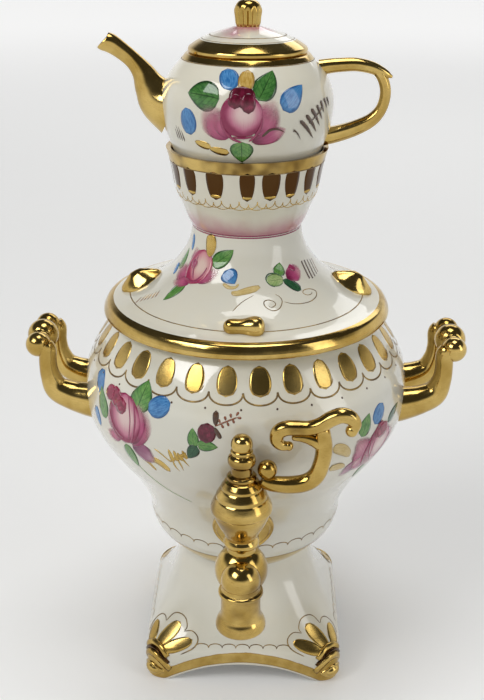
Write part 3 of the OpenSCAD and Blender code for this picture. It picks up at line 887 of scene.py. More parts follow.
def armMesh(side, front):
    mesh = bmesh.new()
    sweepInto(mesh, stationsAlong(armPath), 40, y=front * handle["armY"])
    weld(mesh)
    rooted(mesh, urnWall, urn["wall"] / 2)
    if side < 0:
        bmesh.ops.mirror(mesh, geom=mesh.verts[:] + mesh.edges[:] + mesh.faces[:], axis="X",
                         merge_dist=0)
        bmesh.ops.delete(mesh, geom=[v for v in mesh.verts if v.co.x > 0], context="VERTS")
    return mesh


def arc(middle, radius, start, stop, steps):  # part of a circle, as (radius, height) points
    return [(radius * math.sin(math.radians(start + (stop - start) * k / steps)),
             middle - radius * math.cos(math.radians(start + (stop - start) * k / steps)))
            for k in range(steps + 1)]


def gripMesh(side):
    # three balls in a row, blended where they meet
    low = arc(-handle["endY"], handle["end"], 0, 136, 22)
    mid = arc(0, handle["mid"], 33, 90, 12)
    half = smoothLine(low[:-1] + [(handle["bar"] + 0.15, -11.0)] + mid[1:], 2)
    outline = [(max(r, 0), z) for r, z in half]
    outline += [(r, -z) for r, z in outline[::-1][1:]]
    return turnedMesh(outline, at(side * handle["x"], 0, handle["z"]) @ towardsFront, 64)


for sideName, side in (("left", -1), ("right", 1)):
    for endName, front in (("front", -1), ("rear", 1)):
        makePiece(f"{sideName}_{endName}_gilt_arm", armMesh(side, front), "samovar",
                  [brightGold], (f"{sideName}_handle_{endName}_arm",))
    makePiece(f"{sideName}_gilt_grip", gripMesh(side), "samovar", [brightGold],
              (f"{sideName}_handle_grip",), sharp=60)
print("urn and handles")


# tap

tap = dict(y=-120, spoutY=-132, z=128, outlet=94, bore=8.5, boreDeep=19, slope=1.067, capZ=169.2,
           finialZ=194)
rods = [(8, 42, 92, 0.8, 64), (10.5, 84, 116, 0, 96), (11.2, 116, 132, 0, 96)]
tapBalls = [(tap["y"], 16.2), (tap["spoutY"], 11.9)]


def tapMesh():
    # shank, barrel and the link to the spout, one behind the other, then the valve's and elbow's balls
    mesh = bmesh.new()
    for r, near, far, soft, steps in rods:
        rod = [(0, near), (r, near), (r, far), (0, far)]
        spinInto(mesh, softened(rod, soft) if soft else rod, steps,
                 at(0, 0, tap["z"]) @ towardsFront)
    for y, r in tapBalls:
        ballInto(mesh, (0, y, tap["z"]), r, 48)
    neck = smoothLine([(9.2, 12), (8.4, 15), (8.5, 17)], 5) \
        + smoothLine([(10.3, 18.0), (10.8, 19.5), (10.3, 21)], 5) \
        + smoothLine([(9.0, 22.5), (10.6, 26), (13.6, 31.5), (16.4, 37.5), (17.4, 41)], 6)
    spinInto(mesh, [(0, 12)] + softened(neck + [(0, 41)], 0.5), 96, at(0, tap["y"], tap["z"]))
    return mesh


def spoutMesh():
    outer = softened(
        [(tap["bore"], 0.6), (tap["bore"] + 0.8, 0), (13.6, 0)]
        + smoothLine([(13.6, 0), (15, 1.5), (15.2, 4), (14.2, 7), (12.6, 10), (12, 14), (12, 24.5)], 5)[1:]
        + smoothLine([(12.2, 24.9), (13.4, 25.3), (13.6, 26.3), (13.2, 27.3), (11.9, 28.0)], 4)
        + smoothLine([(11.5, 29), (11.4, 32), (11.2, 37), (9.5, 39)], 3), 0.4)
    return turnedMesh([(0, tap["boreDeep"]), (tap["bore"], tap["boreDeep"])] + outer + [(0, 39)],
                      at(0, tap["spoutY"], tap["outlet"]))


makePiece("tap_casting", joined(tapMesh(), spoutMesh()), "samovar", [castGoldPaintedReflections],
          ("tap_body",))


def rosetteMesh():
    # round plate with a stepped rim, bent to follow the wall of the urn
    outline = softened([(9.5, -1.5), (9.5, 3.5), (16.6, 3.5), (17.4, 2.7), (19.2, 2.7), (20, 1.9),
                        (20, -1.5)], 0.7)
    mesh = turnedMesh(outline, ring=True)
    wall = urnWall.canvas(0, tap["z"])
    for vert in mesh.verts:
        p, q, lift = vert.co / mm
        vert.co = wall(p, q * tap["slope"], lift)
    return mesh


makePiece("tap_wall_plate", rosetteMesh(), "samovar", [castGoldPaintedReflections], ("tap_rosette",))
for nodeName, material in (("tap_lock_nut", steel), ("tap_seal_washer", rubber)):
    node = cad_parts[nodeName]
    node.data.materials.clear()
    node.data.materials.append(material)

plugCap = softened(
    [(0, 0), (17.6, 0)] + smoothLine([(17.6, 0), (18.4, 1), (18.4, 3.2), (17.6, 5.5), (15.9, 8.8)], 4)[1:]
    + smoothLine([(15.3, 9.4), (15.25, 10.4), (15, 11.5), (12.9, 15)], 4)
    + smoothLine([(12.3, 15.6), (12.25, 16.2), (12, 17.2), (10, 20)], 4)
    + smoothLine([(8.4, 20.8), (8.9, 21.8), (9, 22.8), (8.4, 23.8), (6.6, 24.8)], 4) + [(0, 24.8)], 0.35)
finial = softened(
    [(0, -1), (6.6, -1), (6.5, 1.6), (6.4, 3.4)]
    + smoothLine([(6.4, 4.5), (7.8, 6.2), (8.4, 8.5), (7.9, 11), (6, 12.6)], 5)
    + smoothLine([(5.7, 13.2), (6.5, 13.7), (6.7, 14.6), (6.3, 15.4), (5.7, 15.8)], 3)
    + smoothLine([(6, 16.4), (6.5, 18.6), (5.9, 21.6), (4.2, 23.8), (2, 24.8), (0, 25)], 5), 0.2)


plugRod = [(0, 116), (5.5, 116), (5.5, 171), (0, 171)]
makePiece("tap_plug_cap", joined(turnedMesh(plugCap, at(0, tap["y"], tap["capZ"])),
                                 turnedMesh(plugRod, at(0, tap["y"], 0), 48)),
          "tap_key", [castGoldPaintedReflections], ("tap_plug",))
makePiece("tap_cap_finial", turnedMesh(finial, at(0, tap["y"], tap["finialZ"])), "tap_key",
          [castGoldPaintedReflections], ("tap_finial",))

scroll = dict(
    arm=smoothLine([(12, 61.5, 3.6), (17, 59.5, 4.6), (27.5, 58.6, 5.2), (37.5, 60.3, 5.3),
                    (43.8, 65.6, 5.2), (47, 76, 5), (47.5, 85, 5), (46.5, 94, 4.4)], 6),
    tongue=smoothLine([(46, 85, 4), (42, 87.6, 3.6), (36.5, 89.4, 2.8), (30.5, 89.6, 1.8)], 5),
    bar=smoothLine([(27, 84, 2.6), (22.8, 84.6, 3.3), (19.9, 88, 4), (20.8, 93, 4.5), (25, 95.8, 4.6),
                    (31.5, 96.2, 4.5), (38.5, 96.2, 4.4), (45, 98.2, 4.6), (51, 102.2, 4.7),
                    (57, 104.6, 4.7), (62.4, 103.2, 4.4), (65.3, 99, 3.7), (64.2, 95, 3.2)], 6),
    balls=[(15, 68.6, 5.9), (27.2, 84.2, 2.9), (63.2, 94.6, 3.7)])


def scrollMesh():
    mesh = bmesh.new()
    for part in ("arm", "tongue", "bar"):
        path = [(x, z + tap["z"], r) for x, z, r in scroll[part]]
        sweepInto(mesh, stationsAlong(path, ("flat", "round")), 36, y=tap["y"])
    for x, z, r in scroll["balls"]:
        ballInto(mesh, (x, tap["y"], z + tap["z"]), r, 20)
    return mesh


makePiece("tap_scroll_key", scrollMesh(), "tap_key", [castGoldPaintedReflections],
          ("tap_scroll_handle",))
print("tap")


# lid and crown

lid = dict(radius=94, height=58, base=254, neck=35, wall=5, rimFrom=87.6)
lidShape = [(0.856, 0.178), (0.77, 0.23), (0.685, 0.303), (0.608, 0.392), (0.532, 0.488),
            (0.474, 0.595), (0.42, 0.724), (0.39, 0.845), (0.375, 0.966)]
lidSlope = [(93.7, 257.5), (92.4, 260.2), (90.8, 262.2), (87.5, 263.4)] \
    + sized(lidShape, lid["radius"], lid["height"], lid["base"]) + [(lid["neck"], 312)]
lidOut = smoothLine(lidSlope, 7)
lidWall = Wall([(93, 254), (94, 255.2)] + lidOut)


def lidMesh():
    under = [p for p in inward(smoothLine(lidSlope[3:], 5), lid["wall"]) if p[0] < 83 and p[1] < 311]
    edge = softened([(75, 254), (93, 254), (94, 255.2)] + lidOut[:2], 0.5)
    inside = softened([(lid["neck"], 312), (30.5, 312)] + under[::-1]
                      + [(71, 258), (71, 245), (74, 244), (75, 245), (75, 254)], 0.5)
    mesh = facedOut(turnedMesh(edge[1:-1] + lidOut[1:] + inside[1:], steps=192, ring=True))
    secondWhere(mesh, lambda r, z, n: r > lid["rimFrom"] and z > lid["base"] - 0.1)
    return mesh


makePiece("lid_shell", lidMesh(), "lid", [whiteGlaze, brightGold],
          ("lid_dome", "lid_neck"))

bumpOutline = smoothLine([(0, -12.5), (1.5, -12.35), (3, -11.5), (4.2, -10.1), (4.8, -8.2),
                          (4.9, -6), (4.75, -3), (5.2, 0.5), (6.1, 3.6), (6.6, 6.4), (6.2, 9),
                          (4.8, 11.1), (2.9, 12.2), (1.4, 12.45), (0, 12.5)], 4)
bumpMeshes = []
for front in (-1, 1):
    place = at(0, front * 75, 268.4) @ Matrix.Rotation(math.radians(front * -90), 4, "Y")
    bumpMeshes.append(turnedMesh([(max(r, 0), z) for r, z in bumpOutline], place, 48))
makePiece("lid_pear_bumps", joined(*bumpMeshes), "lid", [brightGold],
          ("lid_bumps",))

lug = dict(balls=[(82, 0, 10.5, 2), (78, 5, 12, 2.5), (78, -5, 12, 2.5), (72, 0, 21.3, 4.6),
                  (66, 0, 22.4, 3.6), (56, 0, 23.6, 1.8), (71, 8, 13, 3), (71, -8, 13, 3),
                  (62, 7, 18, 2.5), (62, -7, 18, 2.5)], smooth=14, merge=0.05, edge=1.6)


def lugMesh():
    # a hull drawn round the balls (distance out, distance across, height over the lid's foot, radius)
    mesh = bmesh.new()
    for side in (-1, 1):
        for r, across, z, radius in lug["balls"]:
            bmesh.ops.create_icosphere(mesh, subdivisions=2, radius=radius * mm,
                                       matrix=at(side * r, across, lid["base"] + z))
    # only the balls' points are kept, so that no face comes twice
    bmesh.ops.delete(mesh, geom=mesh.edges[:] + mesh.faces[:], context="EDGES_FACES")
    bmesh.ops.remove_doubles(mesh, verts=mesh.verts, dist=lug["merge"] * mm)
    for side in (-1, 1):
        mine = [v for v in mesh.verts if v.co.x * side > 0]
        hull = bmesh.ops.convex_hull(mesh, input=mine)
        loose = [g for g in hull["geom_interior"] + hull["geom_unused"]
                 if isinstance(g, bmesh.types.BMVert)]
        bmesh.ops.delete(mesh, geom=list(set(loose)), context="VERTS")
    # split the long faces, then even the whole lump out
    for _ in range(4):
        long = [e for e in mesh.edges if e.calc_length() > lug["edge"] * mm]
        if long:
            bmesh.ops.subdivide_edges(mesh, edges=long, cuts=1)
            bmesh.ops.triangulate(mesh, faces=mesh.faces, quad_method="SHORT_EDGE")
    for _ in range(lug["smooth"]):
        bmesh.ops.smooth_vert(mesh, verts=mesh.verts, factor=0.5, use_axis_x=True,
                              use_axis_y=True, use_axis_z=True)
    return mesh


makePiece("lid_side_lugs", lugMesh(), "lid", [brightGold], ("lid_lugs",),
          sharp=80)

crown = dict(radius=51.1, height=49.6, base=312, wall=3, floor=318, vent=16, goldFrom=354.2)
crownShape = [(0.685, 0), (0.738, 0.093), (0.816, 0.297), (0.892, 0.496), (0.943, 0.778), (1, 1)]
crownSlope = sized(crownShape, crown["radius"], crown["height"], crown["base"])
crownOut = smoothLine(crownSlope, 12)
crownWall = Wall(crownOut)


def crownMesh():
    floor, top, vent = crown["floor"], crown["base"] + crown["height"], crown["vent"]
    inside = [p for p in inward(crownOut, crown["wall"]) if floor + 1 < p[1] < top - 0.6]
    lip = softened([crownOut[-1], (crown["radius"] - crown["wall"], top), inside[-1]], 0.9)
    bottom = softened([(vent, crown["base"]), crownOut[0]], 0.3)
    outline = bottom[:-1] + crownOut + lip[1:-1] + inside[::-1] \
        + [(inside[0][0] - 2, floor), (vent + 0.6, floor), (vent, floor - 0.6)]
    mesh = facedOut(turnedMesh(outline, steps=192, ring=True))
    secondWhere(mesh, lambda r, z, n: z > crown["goldFrom"])
    return mesh


makePiece("crown_shell", crownMesh(), "lid", [crownGlaze, rimGoldPaintedReflections],
          ("crown_cup",))
print("lid and crown")


# teapot

pot = dict(radius=53.3, height=100.8, base=318, wall=3, top=418.8, mouth=33, floor=323.6,
           goldFrom=416.2, goldInner=35.6)
potLid = dict(radius=36.7, high=15.2, top=434, wall=3, flange=32, hollow=29, goldFrom=29.6)
potShape = [(0.563, 0.045), (0.67, 0.129), (0.76, 0.228), (0.822, 0.328), (0.873, 0.417),
            (0.925, 0.491), (0.972, 0.57), (0.998, 0.665), (1, 0.724), (0.987, 0.779),
            (0.949, 0.838), (0.891, 0.889), (0.826, 0.93), (0.756, 0.97)]
potOut = smoothLine(sized(potShape, pot["radius"], pot["height"], pot["base"]), 8)
potWall = Wall(potOut)


def potMesh():
    base, top, mouth, floor = (pot[k] for k in ("base", "top", "mouth", "floor"))
    inside = [p for p in inward(potOut, pot["wall"]) if p[1] > floor + 0.4]
    foot = softened([(0, base + 2.5), (22, base + 2.5), (22.5, base), (26, base), (26.5, base + 3),
                     potOut[0]], 0.6)
    lip = softened([potOut[-1], (38.6, top - 0.8), (37.6, top), (mouth, top), (mouth, top - 4),
                    inside[-1]], 0.6)
    outline = foot[:-1] + potOut + lip[1:-1] + inside[::-1] + [(inside[0][0] - 3, floor), (0, floor)]
    mesh = facedOut(turnedMesh(outline, steps=192))
    secondWhere(mesh, lambda r, z, n: z > top - 0.4
                or z > pot["goldFrom"] and r > pot["goldInner"] and n.z > -0.3)
    return mesh


makePiece("teapot_shell", potMesh(), "teapot", [whiteGlaze, brightGold],
          ("teapot_body", "teapot_shoulder"))

spout = smoothLine([(-42, 383, 19), (-54, 389.5, 14.2), (-60, 397.6, 10.2), (-64.6, 406.4, 6.9),
                    (-70.4, 413.4, 5.3), (-78, 419.6, 5.4), (-84, 423.4, 5.9),
                    (-87.5, 424.3, 5.7)], 8)
potHandle = dict(
    loop=smoothLine([(70, 411.6, 2.4), (77.5, 409, 2.9), (82.6, 403.6, 3.4), (84.8, 395, 3.5),
                     (82.8, 385.5, 3.6), (77, 378.4, 4.2), (67, 373.2, 4.8), (56, 369.6, 5.2),
                     (46, 367.4, 5.6)], 7),
    rest=smoothLine([(44, 409.8, 4.8), (50, 410.8, 4.5), (56, 411.4, 4.3), (66, 411.8, 4.1),
                     (75, 410.2, 3.8), (81, 407.8, 3.3), (85, 406.1, 2.4), (87.6, 404.9, 1.2)], 7))


def spoutShell():
    # out along the spout, round its slanting lip and back down the bore
    count = len(spout)
    stations = []
    for i, (x, z, r) in enumerate(spout):
        before, after = spout[max(i - 1, 0)], spout[min(i + 1, count - 1)]
        heading = Vector((after[0] - before[0], after[1] - before[1])).normalized()
        near = max(0, (i - count + 8) / 7)
        lean = math.radians(-34) * near * near
        heading = Vector((heading.x * math.cos(lean) - heading.y * math.sin(lean),
                          heading.x * math.sin(lean) + heading.y * math.cos(lean)))
        stations.append((Vector((x, z)), heading, r))
    tip, tipHeading, tipRadius = stations[-1]
    lip = [(tip + tipHeading * 0.8 * math.sin(a), tipHeading, tipRadius - 0.85 + 0.85 * math.cos(a))
           for a in (math.radians(30 * k) for k in range(1, 6))]
    bore = [(spot, heading, r - (1.7 if spot.x < -72 else 2.4))
            for spot, heading, r in stations[::-1] if spot.x < -46]
    mesh = bmesh.new()
    sweepInto(mesh, stations[3:] + lip + bore, 48)
    bmesh.ops.bridge_loops(mesh, edges=rooted(mesh, potWall, pot["wall"] / 2))
    return mesh


makePiece("teapot_gilt_spout", spoutShell(), "teapot", [brightGold],
          ("teapot_spout",), sharp=60)


def handleMesh():
    mesh = bmesh.new()
    for part in ("loop", "rest"):
        sweepInto(mesh, stationsAlong(potHandle[part], ("flat", "round")), 36)
    weld(mesh)
    rooted(mesh, potWall, pot["wall"] / 2)
    return mesh


makePiece("teapot_gilt_handle", handleMesh(), "teapot", [brightGold],
          ("teapot_handle",), sharp=60)

potLidShape = [(0.981, 0.24), (0.87, 0.42), (0.708, 0.62), (0.52, 0.79), (0.33, 0.92), (0.22, 1)]
potLidSlope = smoothLine(sized(potLidShape, potLid["radius"], potLid["high"], pot["top"]), 6)
potLidWall = Wall(potLidSlope)


def potLidMesh():
    rim, seat, flange, hollow = potLid["radius"], pot["top"], potLid["flange"], potLid["hollow"]
    ceiling = potLid["top"] - potLid["wall"]
    under = [(r, z) for r, z in inward(potLidSlope, potLid["wall"])
             if z < ceiling - 0.2 and r < hollow]
    edge = softened([potLidSlope[0], (rim, seat + 2.4), (rim, seat + 1), (rim - 1, seat),
                     (flange, seat), (flange, seat - 7.5), (flange - 0.6, seat - 8),
                     (hollow, seat - 8), (hollow, seat + 1)], 0.3)
    outline = [(0, potLid["top"])] + potLidSlope[::-1] + edge[1:] + under + [(0, ceiling)]
    mesh = facedOut(turnedMesh(outline, steps=144))
    secondWhere(mesh, lambda r, z, n: r > potLid["goldFrom"] and z > seat - 0.3)
    return mesh


makePiece("teapot_lid_shell", potLidMesh(), "teapot_lid",
          [potLidGlaze, brightGold], ("teapot_lid",))

knobSide = [(6.4, -0.6), (7.2, 1.5), (7.6, 5), (8.1, 9), (7.6, 12), (5.6, 14.4), (2.8, 15.5),
            (0, 15.8)]
ribs = 14


def knobMesh():
    # a flower bud with ribs that die away below its shoulder
    mesh = turnedMesh([(0, -0.6)] + smoothLine(knobSide, 6), steps=160)
    for vert in mesh.verts:
        x, y, z = vert.co / mm
        r = math.hypot(x, y)
        if r > 4 and z < 13:
            wave = abs(math.cos(ribs / 2 * math.atan2(y, x)))
            depth = min(max((11.6 - z) / 2.6, 0), 1) * min(max((z + 0.6) / 1.5, 0), 1)
            grow = 1 + (0.35 - (1 - wave) * 1.15) * depth / r
            vert.co = Vector((x * grow, y * grow, z)) * mm
    bmesh.ops.transform(mesh, matrix=at(0, 0, potLid["top"]), verts=mesh.verts)
    return mesh


makePiece("teapot_lid_bud", knobMesh(), "teapot_lid", [brightGold],
          ("teapot_lid_knob",), sharp=60)
print("teapot")


# painted decoration; each stroke is colour, brush, x, y, heading, length, width, bend

potRose = [
    ("blue", "round", -32.5, -10, 104, 16.5, 12.5, 0),
    ("blue", "round", -6.5, 18, 100, 14.5, 12, 0),
    ("blue", "leaf", 24.5, 6.5, 46, 19, 14, 0),
    ("leaf", "leaf", -13, 13, 170, 22, 18, 12),
    ("leaf", "leaf", 9.5, 12.5, 62, 20, 15, 10),
    ("ochre", "round", 1.8, 16.5, 86, 15, 9.5, 0),
    ("blush", "petal", -6, -8.5, 148, 25, 19, -30),
    ("blush", "petal", -7, -9, 124, 18, 12, -20),
    ("blush", "petal", 8, -7, 62, 24, 17, -10),
    ("blush", "petal", 9, -7, 40, 20, 14, 20),
    ("rose", "petal", 6, -11.5, 12, 22, 9, 16),
    ("bulb", "round", 0, -9, 90, 25.5, 25, 0),
    ("heart", "round", 0.3, 8, 90, 12.8, 15.4, 0),
    ("heart", "round", -3.6, 16.5, -92, 9, 8.4, 0),
    ("heart", "round", 3.7, 17, -88, 12, 8.6, 0),
    ("crease", "line", -12, 3, -92, 21, 1.6, 84),
    ("crease", "line", 12, 3, -88, 17, 1.5, -62),
    ("crease", "line", -5, -8.6, -14, 12, 1.2, 34),
]
potLines = [
    ("brown", "flick", 1.6, [(12, -8.4), (16.5, -4.6), (21.5, -4.2), (26, -6.6)]),
    ("brown", "flick", 2.4, [(35.9, -0.3), (40.9, -4.7), (47.7, -12.9)]),
    ("brown", "flick", 2.4, [(40.5, 2.5), (45.5, -2.6), (50.3, -9.2)]),
    ("brown", "flick", 2.4, [(44.6, 5.6), (49.3, 0.6), (53.2, -5.7)]),
    ("brown", "flick", 2.2, [(49.7, 7.1), (53, 2.7), (55.6, -2.2)]),
    ("brown", "flick", 2.1, [(53.6, 9.1), (55.7, 5.9), (57.5, 1.6)]),
    ("brown", "flick", 1.9, [(57.3, 10), (59.6, 7.5), (61.4, 3.6)]),
    ("brown", "flick", 1.6, [(61.6, 10), (63.3, 7.6), (64.6, 4.4)]),
    ("brown", "line", 0.8, [(42.9, -3), (47.6, -0.3), (52.3, 2.8), (56.4, 6.2)]),
    ("brown", "flick", 0.9, [(31.6, -5.2), (34.8, -8.2), (36.9, -12.2)]),
    ("brown", "line", 0.6, [(31.2, -6.3), (33.4, -6.9), (35.4, -9.4)]),
]
potLeaves = [
    ("green", "leaf", 0, -11.5, -90, 14, 14, 0),
    ("gold", "petal", -30, -13.5, -20, 12, 5, 12),
    ("gold", "petal", -20, -17, -15, 13, 5, 10),
]
lidRose = [
    ("green", "leaf", -18.5, -6, 95, 15, 7, -8),
    ("blue", "petal", -13.5, 8.5, 105, 11, 4.6, 0),
    ("blue", "petal", -21.5, -11, 112, 9, 4.8, 0),
    ("blue", "leaf", 18.5, 1.6, -30, 13, 9.5, -14),
    ("green", "leaf", 8.5, 4, 40, 16, 11.5, 10),
    ("green", "leaf", -5, -11, -104, 19, 8.5, -12),
    ("blush", "petal", -2, -9, 172, 20, 14, -26),
    ("blush", "petal", -1, -10, 200, 17, 9, -10),
    ("blush", "petal", -4, 0, 112, 14, 10, 0),
    ("blush", "petal", 2, -8, 28, 17, 11, 20),
    ("salmon", "round", -0.5, -11.5, 90, 24, 20, 0),
    ("blush", "round", -6.4, 5, -70, 9, 6, 20),
    ("crease", "line", -4, 8, -106, 17, 1.2, 62),
    ("crease", "line", 6, 2, -86, 13, 1.1, -58),
    ("crease", "line", -8, -7.6, -30, 13, 1.3, 56),
    ("gold", "petal", 5, 8.5, 98, 15, 8, 0),
]
lidLines = [
    ("sand", "petal", 5.6, [(29.6, -11.5), (33.3, -12.5), (37.5, -11), (43, -9.4), (46, -8.6)]),
    ("sand", "line", 2.2, [(21.6, -6.6), (26.4, -8.8), (30.4, -8.5), (31.1, -5.9)]),
    ("line", "line", 0.6, [(39.2, -26), (40.6, -19), (45, -13.4)]),
]
lidFlicks = [(-32.4, -42), (-30, -39), (-27.7, -36.6), (-25.4, -34.8), (-22.8, -32.4), (-20.6, -30.2)]
lidBud = [
    ("green", "leaf", -3.6, 0.6, 62, 9.5, 8.2, 10),
    ("pale", "round", -0.8, -1.4, 182, 11.6, 8.6, 0),
    ("dark", "petal", -1.6, -2, -36, 14, 6.6, -16),
    ("rose", "petal", 1.6, -1.6, 26, 14, 11.5, -32),
    ("crease", "round", 5.4, 5.6, -20, 6.4, 4.6, -20),
]
lidBudLines = [
    ("brown", "band", 1.5, [(18.9, 6.1), (19.6, 0), (20.3, -6.2)]),
    ("brown", "band", 1.5, [(22.4, 5.9), (23, 0), (23.5, -7)]),
    ("brown", "band", 1.3, [(26.4, 5), (26.8, 0), (27, -6.7)]),
    ("brown", "band", 1.0, [(30.6, 4), (30.6, -6)]),
    ("russet", "band", 0.8, [(34.2, 3.6), (33.6, -5.6)]),
    ("dark", "line", 0.8, [(-0.7, -0.7), (-4.9, 2.6), (-9.6, 2.8), (-12.3, -0.3), (-11.2, -4.1),
                           (-8.1, -6.1)]),
    ("line", "line", 0.6, [(-10.6, -11), (-8.5, -13.2), (-8.4, -16.8), (-12.2, -21.5),
                           (-17.1, -22.8), (-20.4, -19.6), (-19.8, -16), (-16.6, -14.7),
                           (-13.6, -16.3), (-13.7, -18.8), (-17, -20.3), (-18.3, -19)]),
    ("line", "line", 0.6, [(-7.4, -17.2), (-2.2, -19.7), (4.6, -20.9), (11.6, -20.8), (17.6, -18.7),
                           (19.4, -15.4), (15.5, -12.6), (10.4, -12.1), (8.6, -13.9), (10.9, -16.1),
                           (14.7, -16.2), (15.9, -14.7)]),
]
urnRose = [
    ("blue", "petal", -29.5, 4, 118, 17, 11, 0),
    ("blue", "petal", -31, -18, 126, 14, 8, 0),
    ("green", "leaf", -23, -9.5, 116, 21, 12, -10),
    ("green", "leaf", 8, 6, 80, 21, 17, 8),
    ("blue", "round", 16.5, 9, 30, 16, 14, 0),
    ("green", "leaf", -2, -19, -72, 19, 10, -10),
    ("plum", "petal", 4, -17, -22, 19, 13, 0),
    ("blush", "petal", 2, -17, 52, 32, 22, 44),
    ("rose", "petal", 3, -17, 62, 29, 15, 36),
    ("blush", "petal", -8, -12, 150, 16, 12, -30),
    ("blush", "petal", -6, -16, 196, 17, 9, -30),
    ("bulb", "round", -3, -18.5, 92, 33, 30, 0),
    ("crimson", "round", -17.6, 13.6, -30, 14, 11, -40),
    ("crimson", "round", -12, 7.5, -20, 11.5, 11, 0),
    ("crimson", "round", -20.5, 5, 70, 11, 9, 0),
    ("crimson", "round", -10, 2.6, 34, 10.5, 8, 0),
    ("crease", "line", 3.4, 13, -62, 31, 1.5, -58),
    ("crease", "line", -0.6, 13, -66, 28, 1.0, -40),
    ("crease", "line", -17.5, -1, -84, 22, 1.3, 78),
]
urnLines = [
    ("straw", "petal", 2.6, [(10.4, -26.3), (15.3, -28.4), (18.7, -33.7)]),
    ("straw", "petal", 5.6, [(14.6, -23.2), (23.9, -24.4), (30.2, -30.6)]),
    ("straw", "line", 1.0, [(21.8, -14.5), (27.3, -17.1), (33.2, -21.4)]),
    ("straw", "petal", 2.8, [(32.1, -12.4), (33.9, -16.6), (35.3, -21)]),
    ("straw", "petal", 2.4, [(35.7, -12.4), (37.1, -15.9), (37.8, -19.6)]),
    ("straw", "petal", 2.2, [(38.2, -13.4), (39.8, -15.9), (41.5, -18.6)]),
    ("straw", "petal", 2.4, [(41.4, -11.4), (43.2, -14.1), (44.6, -16.8)]),
    ("straw", "line", 1.9, [(32.2, -21.4), (38.1, -16.9), (44.3, -12.4)]),
    ("straw", "line", 1.6, [(36.6, -19.6), (43.7, -14.6)]),
    ("straw", "flick", 1.3, [(34.7, -20.7), (35.8, -25.2), (37.7, -28.3)]),
    ("straw", "flick", 1.3, [(38.5, -18.3), (39.9, -22.7), (40.4, -26.8)]),
    ("straw", "flick", 1.3, [(41.4, -16.8), (43.8, -19.9), (45.5, -22.2)]),
]
sideRose = [
    ("green", "leaf", -25.5, 3, 58, 16, 11, 6),
    ("blue", "round", -13, 7.5, 48, 15, 12, 0),
    ("dark", "leaf", 3, 3, 24, 18, 7, 0),
    ("plum", "petal", -19, -14, 222, 19, 12, 0),
    ("green", "leaf", -8, -27, -84, 18, 9, 10),
    ("blush", "petal", -8, -23, 134, 32, 20, -14),
    ("rose", "petal", -10, -26, 120, 34, 18, 10),
    ("rose", "petal", -9, -25, 158, 21, 12, -16),
    ("blush", "petal", 2, -22, 62, 24, 15, 20),
    ("bulb", "round", -5, -28, 90, 33, 29, 0),
    ("crimson", "round", -1, 5, 200, 13, 9, 40),
    ("crimson", "round", 4, 1.5, 190, 14, 10, 0),
    ("crease", "line", -15, -2, -96, 24, 1.4, 66),
    ("crease", "line", -11, -3, -98, 24, 0.9, 50),
    ("crease", "line", 8, -6, -88, 20, 1.2, -66),
    ("sand", "petal", -34, -8, 118, 18, 7.5, 56),
    ("sand", "petal", -33.5, -17, 150, 14, 6, 34),
]
urnBud = [
    ("green", "leaf", -7.5, -11, 104, 13, 7.5, -16),
    ("green", "leaf", -6, -8.5, -2, 13, 7.5, 0),
    ("dark", "leaf", -6, -9.5, -122, 11, 8, 0),
    ("heart", "round", -0.5, -7, 86, 13, 11.5, 0),
    ("brown", "petal", 5.2, 4.4, 92, 9.5, 3.8, 0),
    ("brown", "petal", 4.6, 3.6, -60, 8, 2.8, 0),
    ("russet", "line", 4.6, 4.2, 28, 14.5, 1.0, -6),
]
buds = [(8, 6.4, 118), (8.6, 5.8, -58), (11.2, 8.2, 110), (12, 7.4, -66), (14.2, 9.8, 104),
        (15, 9.2, -62), (17, 11.2, 60), (17.6, 10.2, -6)]

potPaint = Painter()
for angle in (-2.8, 177.2):
    wall = potWall.canvas(angle, 386)
    potPaint.motif(wall, potRose)
    potPaint.motif(wall, potLeaves)
    potPaint.trace(wall, potLines, 17)
    potPaint.hatch(wall, (-45, -15), (-38.5, -15.5), 4, 104, 8, 1.1, "brown")
potPaint.ring(potWall, 415.5, 0.6, "line")
potPaint.piece("teapot_painting", "teapot", "glazed_porcelain")

potLidPaint = Painter()
potLidPaint.ring(potLidWall, 429.3, 0.8, "line", parts=12)
potLidPaint.ring(potLidWall, 427.2, 0.5, "line", parts=12)
potLidPaint.piece("teapot_lid_line", "teapot_lid", "gilded_porcelain")

crownPaint = Painter()
# windows painted near-black umber as a painted dark reflection, with a gold curl at each foot
windows = [-45.6, -23, 1.1, 18.6, 35.6, 53.9] + [73.9 + 20.04 * k for k in range(12)]
for k, angle in enumerate(windows):
    wall = crownWall.canvas(angle, 346)
    wide = 10.6 + 1.3 * math.sin(2.4 * k)
    crownPaint.lay(wall, "tongue", "umber", [(0, 9.5), (0, 0), (0, -8.8)], wide, 1)
    crownPaint.lay(wall, "round", "gold", curve(-wide * 0.33, -6.4, -8, wide * 0.66, 16), 2.2, 2)
crownPaint.arches(crownWall, 337.2, 26, 5.2, 0.55, "straw", first=2)
crownPaint.arches(crownWall, 335.6, 26, 4.4, 0.5, "straw", first=9, layer=1)
crownPaint.ring(crownWall, crown["goldFrom"], 0.5, "line", 2)
crownPaint.ring(crownWall, 312.7, 1.0, "crease")
crownPaint.piece("crown_painting", "lid", "gilded_porcelain")

lidPaint = Painter()
for angle in (-43, 137):
    wall = lidWall.canvas(angle, 290.4)
    lidPaint.motif(wall, lidRose)
    lidPaint.trace(wall, lidLines)
    for x, y in lidFlicks:
        lidPaint.lay(wall, "flick", "russet", curve(x, y, 108, 6.4, -10, steps=6), 0.9, 1)
for angle in (32, -148):
    wall = lidWall.canvas(angle, 288)
    lidPaint.motif(wall, lidBud)
    lidPaint.trace(wall, lidBudLines)
lidPaint.ring(lidWall, 265.6, 0.75, "line", parts=36)
lidPaint.ring(lidWall, 311.3, 0.8, "crease")
lidPaint.piece("lid_painting", "lid", "glazed_porcelain")

